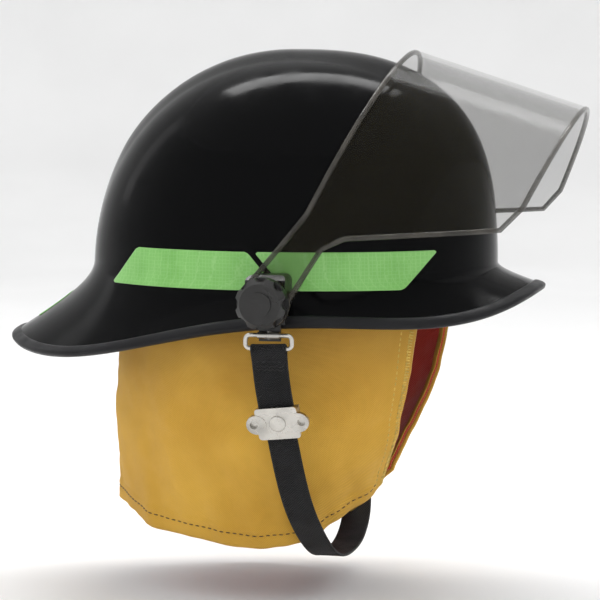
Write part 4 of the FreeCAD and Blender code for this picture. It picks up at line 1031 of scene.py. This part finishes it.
def looped_line(points, outward, spread):
    """Line up one face of a doubled strap, round the ring's bar and down the other face."""
    bar = points[0]
    upward = (points[0] - points[1]).normalized()
    reach = 2.35 * MM
    front = []
    back = []
    for i in range(len(points) - 1, 0, -1):
        run = (points[i] - bar).length
        gap = spread + (reach - spread) * exp(-(run / (6 * MM)) ** 2)
        front.append((points[i] + outward[i] * gap, outward[i]))
        back.append((points[i] - outward[i] * gap, -outward[i]))
    turn_points = []
    for k in range(13):
        angle = pi * k / 12
        lift = outward[0] * cos(angle) + upward * sin(angle)
        turn_points.append((bar + lift * reach, lift))
    line = front + turn_points + back[::-1]
    return [p for p, _ in line], [n for _, n in line]


def make_chin_strap():
    points, outward = strap_line()
    slide = nearest(points, Vector(STRAP_ROUTE[SLIDE_STATION]) * MM)
    buckle = Vector(STRAP_ROUTE[BUCKLE_STATION]) * MM
    plug = short_of(points, buckle, 12 * MM)
    for word, route, lifts, last in (("right", points, outward, slide + 6),
                                     ("left", points[::-1], outward[::-1], plug)):
        line, faces = looped_line(route[:last], lifts[:last], 0.82 * MM)
        strap = strap_piece("strap_upper_" + word, line, faces, UPPER_STRAP_WIDTH, 1.5 * MM)
        finish_piece(strap, "strap", "chin_strap", ["chin_strap_upper_" + word])
        make_bartacks("strap_tacks_" + word, route, lifts, (8, 11, 14))
    low = short_of(points, mirrored([buckle])[0], 20 * MM)
    stretch = slice(slide + 7, low + 1)
    lower = strap_piece("strap_lower", points[stretch], outward[stretch], LOWER_STRAP_WIDTH,
                        1.7 * MM)
    finish_piece(lower, "strap", "chin_strap", ["chin_strap_lower"])


def nearest(points, spot):
    return min(range(len(points)), key=lambda i: (points[i] - spot).length)


def short_of(points, spot, gap):
    """Index of the last point that is at least a gap before a spot."""
    i = nearest(points, spot)
    while (points[i] - spot).length < gap:
        i -= 1
    return i


def make_bartacks(name, points, outward, places):
    """Dense rows of thread across the doubled strap."""
    rows = []
    for distance in places:
        i = nearest(points, points[0] + (points[60] - points[0]).normalized() * distance * MM)
        for lift in (outward[i], -outward[i]):
            middle = points[i] + lift * 1.62 * MM
            row = []
            for k in range(160):
                share = k / 159 * 2 - 1
                wave = sin(k * 1.2) * 0.5 * MM
                row.append((middle + AHEAD * share * 9.5 * MM + Vector((0, 0, wave)), lift))
            rows.append(row)
    tacks = stitch_rows(name, rows, 1.6 * MM, 0.2 * MM, 0.3 * MM)
    finish_piece(tacks, "thread_black", "chin_strap")


# ---- faceshield rim

SHIELD_ARM = ((40, 5), (62, 0))
SHIELD_SLANT = ((104, -113), (94, -95), (82, -72.7), (70, -50.3), (58, -28), (46, -18))
SHIELD_FOOT = 122 * MM
RIM_RADIUS = 1.75 * MM


def ear_arc(first, last, step):
    """Side view of the rim's middle on the round ear, between two angles in degrees."""
    turns = [radians(angle) for angle in range(first, last, step)]
    reach = EAR_RADIUS - RIM_RADIUS
    return [(reach * cos(turn), reach * sin(turn)) for turn in turns]


def level_edge(start, level, reach):
    """Side view of a level edge from a start to the middle of the front."""
    turn = acos(start / reach)
    return [(reach * cos(turn * (1 - k / 60)), level) for k in range(61)]


def on_shield(x, z, side):
    """Point of the lowered faceshield's wall from its side view; side is -1 for right."""
    reach = SHIELD_HALF_LENGTH + SHIELD_LEAN * -z / SHIELD_DROP
    share = min(1, abs(x) / reach)
    return Vector((x, side * SHIELD_HALF_WIDTH * sqrt(1 - share * share), z))


def shield_edge():
    """Closed edge of the faceshield and the way out from its wall, lowered about the pivot."""
    upper = ear_arc(180, 69, -10)
    upper += [(x * MM, z * MM) for x, z in SHIELD_ARM[:1]]
    upper += level_edge(SHIELD_ARM[1][0] * MM, 0, SHIELD_HALF_LENGTH)
    lower = level_edge(SHIELD_FOOT, -SHIELD_DROP, SHIELD_HALF_LENGTH + SHIELD_LEAN)[::-1]
    lower += [(x * MM, z * MM) for x, z in SHIELD_SLANT]
    lower += ear_arc(-60, -180, -10)
    points = [on_shield(x, z, -1) for x, z in upper]
    points += [on_shield(x, z, 1) for x, z in upper[-2::-1]]
    points += [on_shield(x, z, 1) for x, z in lower[:0:-1]]
    points += [on_shield(x, z, -1) for x, z in lower]
    return points


def make_shield_rim():
    """Rounded polished rim round the faceshield, in its raised place."""
    points = shield_edge()
    raised = Matrix.Translation(PIVOT) @ Matrix.Rotation(-SHIELD_RAISED, 4, "Y")
    count = len(points)
    across = []
    outward = []
    for k in range(count):
        along = (points[(k + 1) % count] - points[k - 1]).normalized()
        out = Vector((points[k].x / SHIELD_HALF_LENGTH ** 2, points[k].y / SHIELD_HALF_WIDTH ** 2, 0))
        out = (out - along * out.dot(along)).normalized()
        across.append((raised.to_3x3() @ out.cross(along)).normalized())
        outward.append((raised.to_3x3() @ out).normalized())
    ring = [(RIM_RADIUS * cos(tau * k / 10), RIM_RADIUS * sin(tau * k / 10))
            for k in range(10)]
    rim = swept("faceshield_rim", [raised @ point for point in points], across, outward, ring,
                closed=True)
    finish_piece(rim, "shield_rim", "shield")


# ---- crown straps and pads

CROWN_FOOT = 36 * MM
CROWN_TOP = 117 * MM
CROWN_INSET = (3.6 + 14 + 0.3 + 1.6 + 2.4) * MM  # shell, foam, gap, inner cap and room to spare
STRAP_TURNS = (("crown_strap_across", 90), ("crown_strap_right", 35), ("crown_strap_left", -35))


def crown_reach(turn):
    """Furthest that a strap's flat foot stands out at a turn about Z, inside the inner cap."""
    half_length = DOME_HALF_LENGTH - CROWN_INSET
    half_width = DOME_HALF_WIDTH - CROWN_INSET
    reach = half_length
    while True:
        corners = [(reach * cos(turn) - side * sin(turn),
                    reach * sin(turn) + side * cos(turn))
                   for side in (-12 * MM, 12 * MM)]
        if all(hypot(x / half_length, y / half_width) < 1 for x, y in corners):
            return reach
        reach -= 0.05 * MM


def make_crown_straps():
    """Three straps over the head, each laid just above the one before."""
    for level, (name, degrees) in enumerate(STRAP_TURNS):
        turn = radians(degrees)
        reach = crown_reach(turn) + 0.6 * MM
        rise = CROWN_TOP - CROWN_FOOT + (level * 1.5 + 0.6) * MM
        heading = Vector((cos(turn), sin(turn), 0))
        points = []
        for k in range(121):
            angle = pi * k / 120
            points.append(heading * reach * cos(angle)
                          + Vector((0, 0, CROWN_FOOT + rise * sin(angle))))
        outward = []
        for i in range(len(points)):
            lift = direction(points, i).cross(Vector((-heading.y, heading.x, 0))).normalized()
            outward.append(lift if lift.z * 2 + lift.dot(points[i]) > 0 else -lift)
        strap = strap_piece(name + "_webbing", points, outward, 19 * MM, 1.2 * MM)
        finish_piece(strap, "crown", "helmet", [name])


def swell(piece, voxel, cap):
    """Blow a closed shape up a little as cloth, and keep each point's move under a cap."""
    scene = bpy.context.scene
    bpy.context.view_layer.objects.active = piece
    remesh = piece.modifiers.new("remesh", "REMESH")
    remesh.mode = "VOXEL"
    remesh.voxel_size = voxel
    bpy.ops.object.modifier_apply(modifier=remesh.name)
    before = [vertex.co.copy() for vertex in piece.data.vertices]
    soft = piece.modifiers.new("swell", "CLOTH")
    soft.settings.use_pressure = True
    soft.settings.uniform_pressure_force = SWELL_PRESSURE
    soft.settings.effector_weights.gravity = 0
    soft.settings.quality = 5
    soft.point_cache.frame_end = SWELL_FRAMES
    for step in range(1, SWELL_FRAMES + 1):
        scene.frame_set(step)
    shape = piece.evaluated_get(bpy.context.evaluated_depsgraph_get())
    after = [vertex.co.copy() for vertex in shape.data.vertices]
    piece.modifiers.remove(soft)
    scene.frame_set(1)
    for vertex, start, end in zip(piece.data.vertices, before, after):
        move = end - start
        if move.length > cap:
            move = move.normalized() * cap
        vertex.co = start + move
    smooth = piece.modifiers.new("round", "SUBSURF")
    smooth.levels = 1
    smooth.render_levels = 1
    bpy.ops.object.modifier_apply(modifier=smooth.name)
    piece.data.polygons.foreach_set("use_smooth", [True] * len(piece.data.polygons))


def make_brow_pad():
    """Padded band inside the front of the headband, with sewn channels across it."""
    wide = BAND_HALF_LENGTH - 1.8 * MM
    narrow = BAND_HALF_WIDTH - 1.8 * MM
    limit = acos(26 / 93.2)
    turns = np.linspace(-limit, limit, 161)
    levels = np.linspace(0, 1, 25)
    outer = np.zeros((161, 25, 3))
    inner = np.zeros((161, 25, 3))
    for i, turn in enumerate(turns):
        channel = 0.35 + 0.65 * min(1, abs(sin(turn * 7)) * 2.2)
        for j, level in enumerate(levels):
            crown = sin(pi * level) ** 0.5
            end = min(1, (limit - abs(turn)) / 0.06) ** 0.5
            deep = 0.7 * MM + 3.4 * MM * crown * channel * end
            spot = Vector((3 * MM + wide * cos(turn), narrow * sin(turn),
                           (-1.8 + 31.6 * level) * MM))
            inward = -Vector((cos(turn) / wide, sin(turn) / narrow, 0)).normalized()
            outer[i, j] = spot + inward * 0.5 * MM
            inner[i, j] = spot + inward * (0.8 * MM + deep)
    pad = thick_sheet("brow_padding", outer, inner)
    swell(pad, 1.6 * MM, 0.6 * MM)
    finish_piece(pad, "pad", "helmet", ["brow_pad"])


def cushion(name, centre, side, up, half_width, half_height, half_depth, power):
    """Closed pillow between a rounded outline's edges, thickest in the middle."""
    rings = 18
    steps = 72
    front = side.cross(up)
    points = []
    for face in (1, -1):
        for i in range(rings):
            share = i / (rings - 1) if face == 1 else 1 - i / (rings - 1)
            if face == -1 and i == 0:
                continue
            for k in range(steps):
                x, y = squarish(tau * k / steps, power)
                z = half_depth * sqrt(max(0, 1 - share ** 4)) * face
                points.append(centre + side * (x * half_width * share)
                              + up * (y * half_height * share) + front * z)
    return weld(add_mesh(name, points, grid_faces(2 * rings - 1, steps, closed_columns=True)), 1e-6)


# The two cushions: part, side and up directions, half sizes in mm, corner power and voxel in mm.
CUSHIONS = (("nape", (0, 1, 0), (0, 0, 1), (28.8, 14.8, 1.9), 0.45, 1.5),
            ("crown", (1, 0, 0), (0, 1, 0), (31, 31, 2.4), 1.0, 1.6))


def make_small_pads():
    for part, side, up, half_sizes, power, voxel in CUSHIONS:
        low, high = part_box(part + "_pad")
        pad = cushion(part + "_padding", (low + high) / 2, Vector(side), Vector(up),
                      *(size * MM for size in half_sizes), power)
        swell(pad, voxel * MM, 0.5 * MM)
        finish_piece(pad, "pad", "helmet", [part + "_pad"])


# ---- pieces kept from the CAD

# Each node's look and the width in mm of its softened edges; a paired node has two sides.
KEPT = (
    ("impact_foam_liner", "foam", 0), ("inner_cap", "cap", 0), ("headband", "band", 0.3),
    ("crown_strap_keys", "hardware", 0.4), ("headband_hangers", "band", 0.3),
    ("ratchet_housing", "hardware", 0.4), ("ratchet_plate", "hardware", 0.3),
    ("ratchet_dial", "hardware", 0.25), ("ratchet_pinion", "acetal", 0.1),
    ("bracket_screws", "steel", 0.15), ("bracket_nuts", "steel", 0.2), ("faceshield", "shield", 0),
    ("postman_slide", "steel", 0.25), ("buckle_housing", "hardware", 0.5),
    ("buckle_plug", "hardware", 0.5), ("buckle_arm_front", "hardware", 0.4),
    ("buckle_arm_rear", "hardware", 0.4), ("hang_ring", "steel", 0.3),
    ("hang_ring_bracket", "steel", 0.3),
)
KEPT_PAIRS = (
    ("rack", "band", 0.1), ("visor_bracket", "hardware", 0.35), ("pivot_stud", "steel", 0.2),
    ("friction_washer", "acetal", 0), ("visor_knob", "hardware", 0.4),
    ("strap_swivel", "steel", 0.2), ("strap_ring", "steel", 0),
)


def dress_kept():
    for name, look, bevel in KEPT:
        dress_node(name, look, bevel * MM)
    for name, look, bevel in KEPT_PAIRS:
        dress_node(name + "_right", look, bevel * MM)
        dress_node(name + "_left", look, bevel * MM)


make_camera()
make_floor()
make_light()
make_shell()
make_edging()
make_stickers()
make_shield_rim()
cover, lining = make_cover()
make_chin_strap()
make_crown_straps()
make_brow_pad()
make_small_pads()
dress_kept()
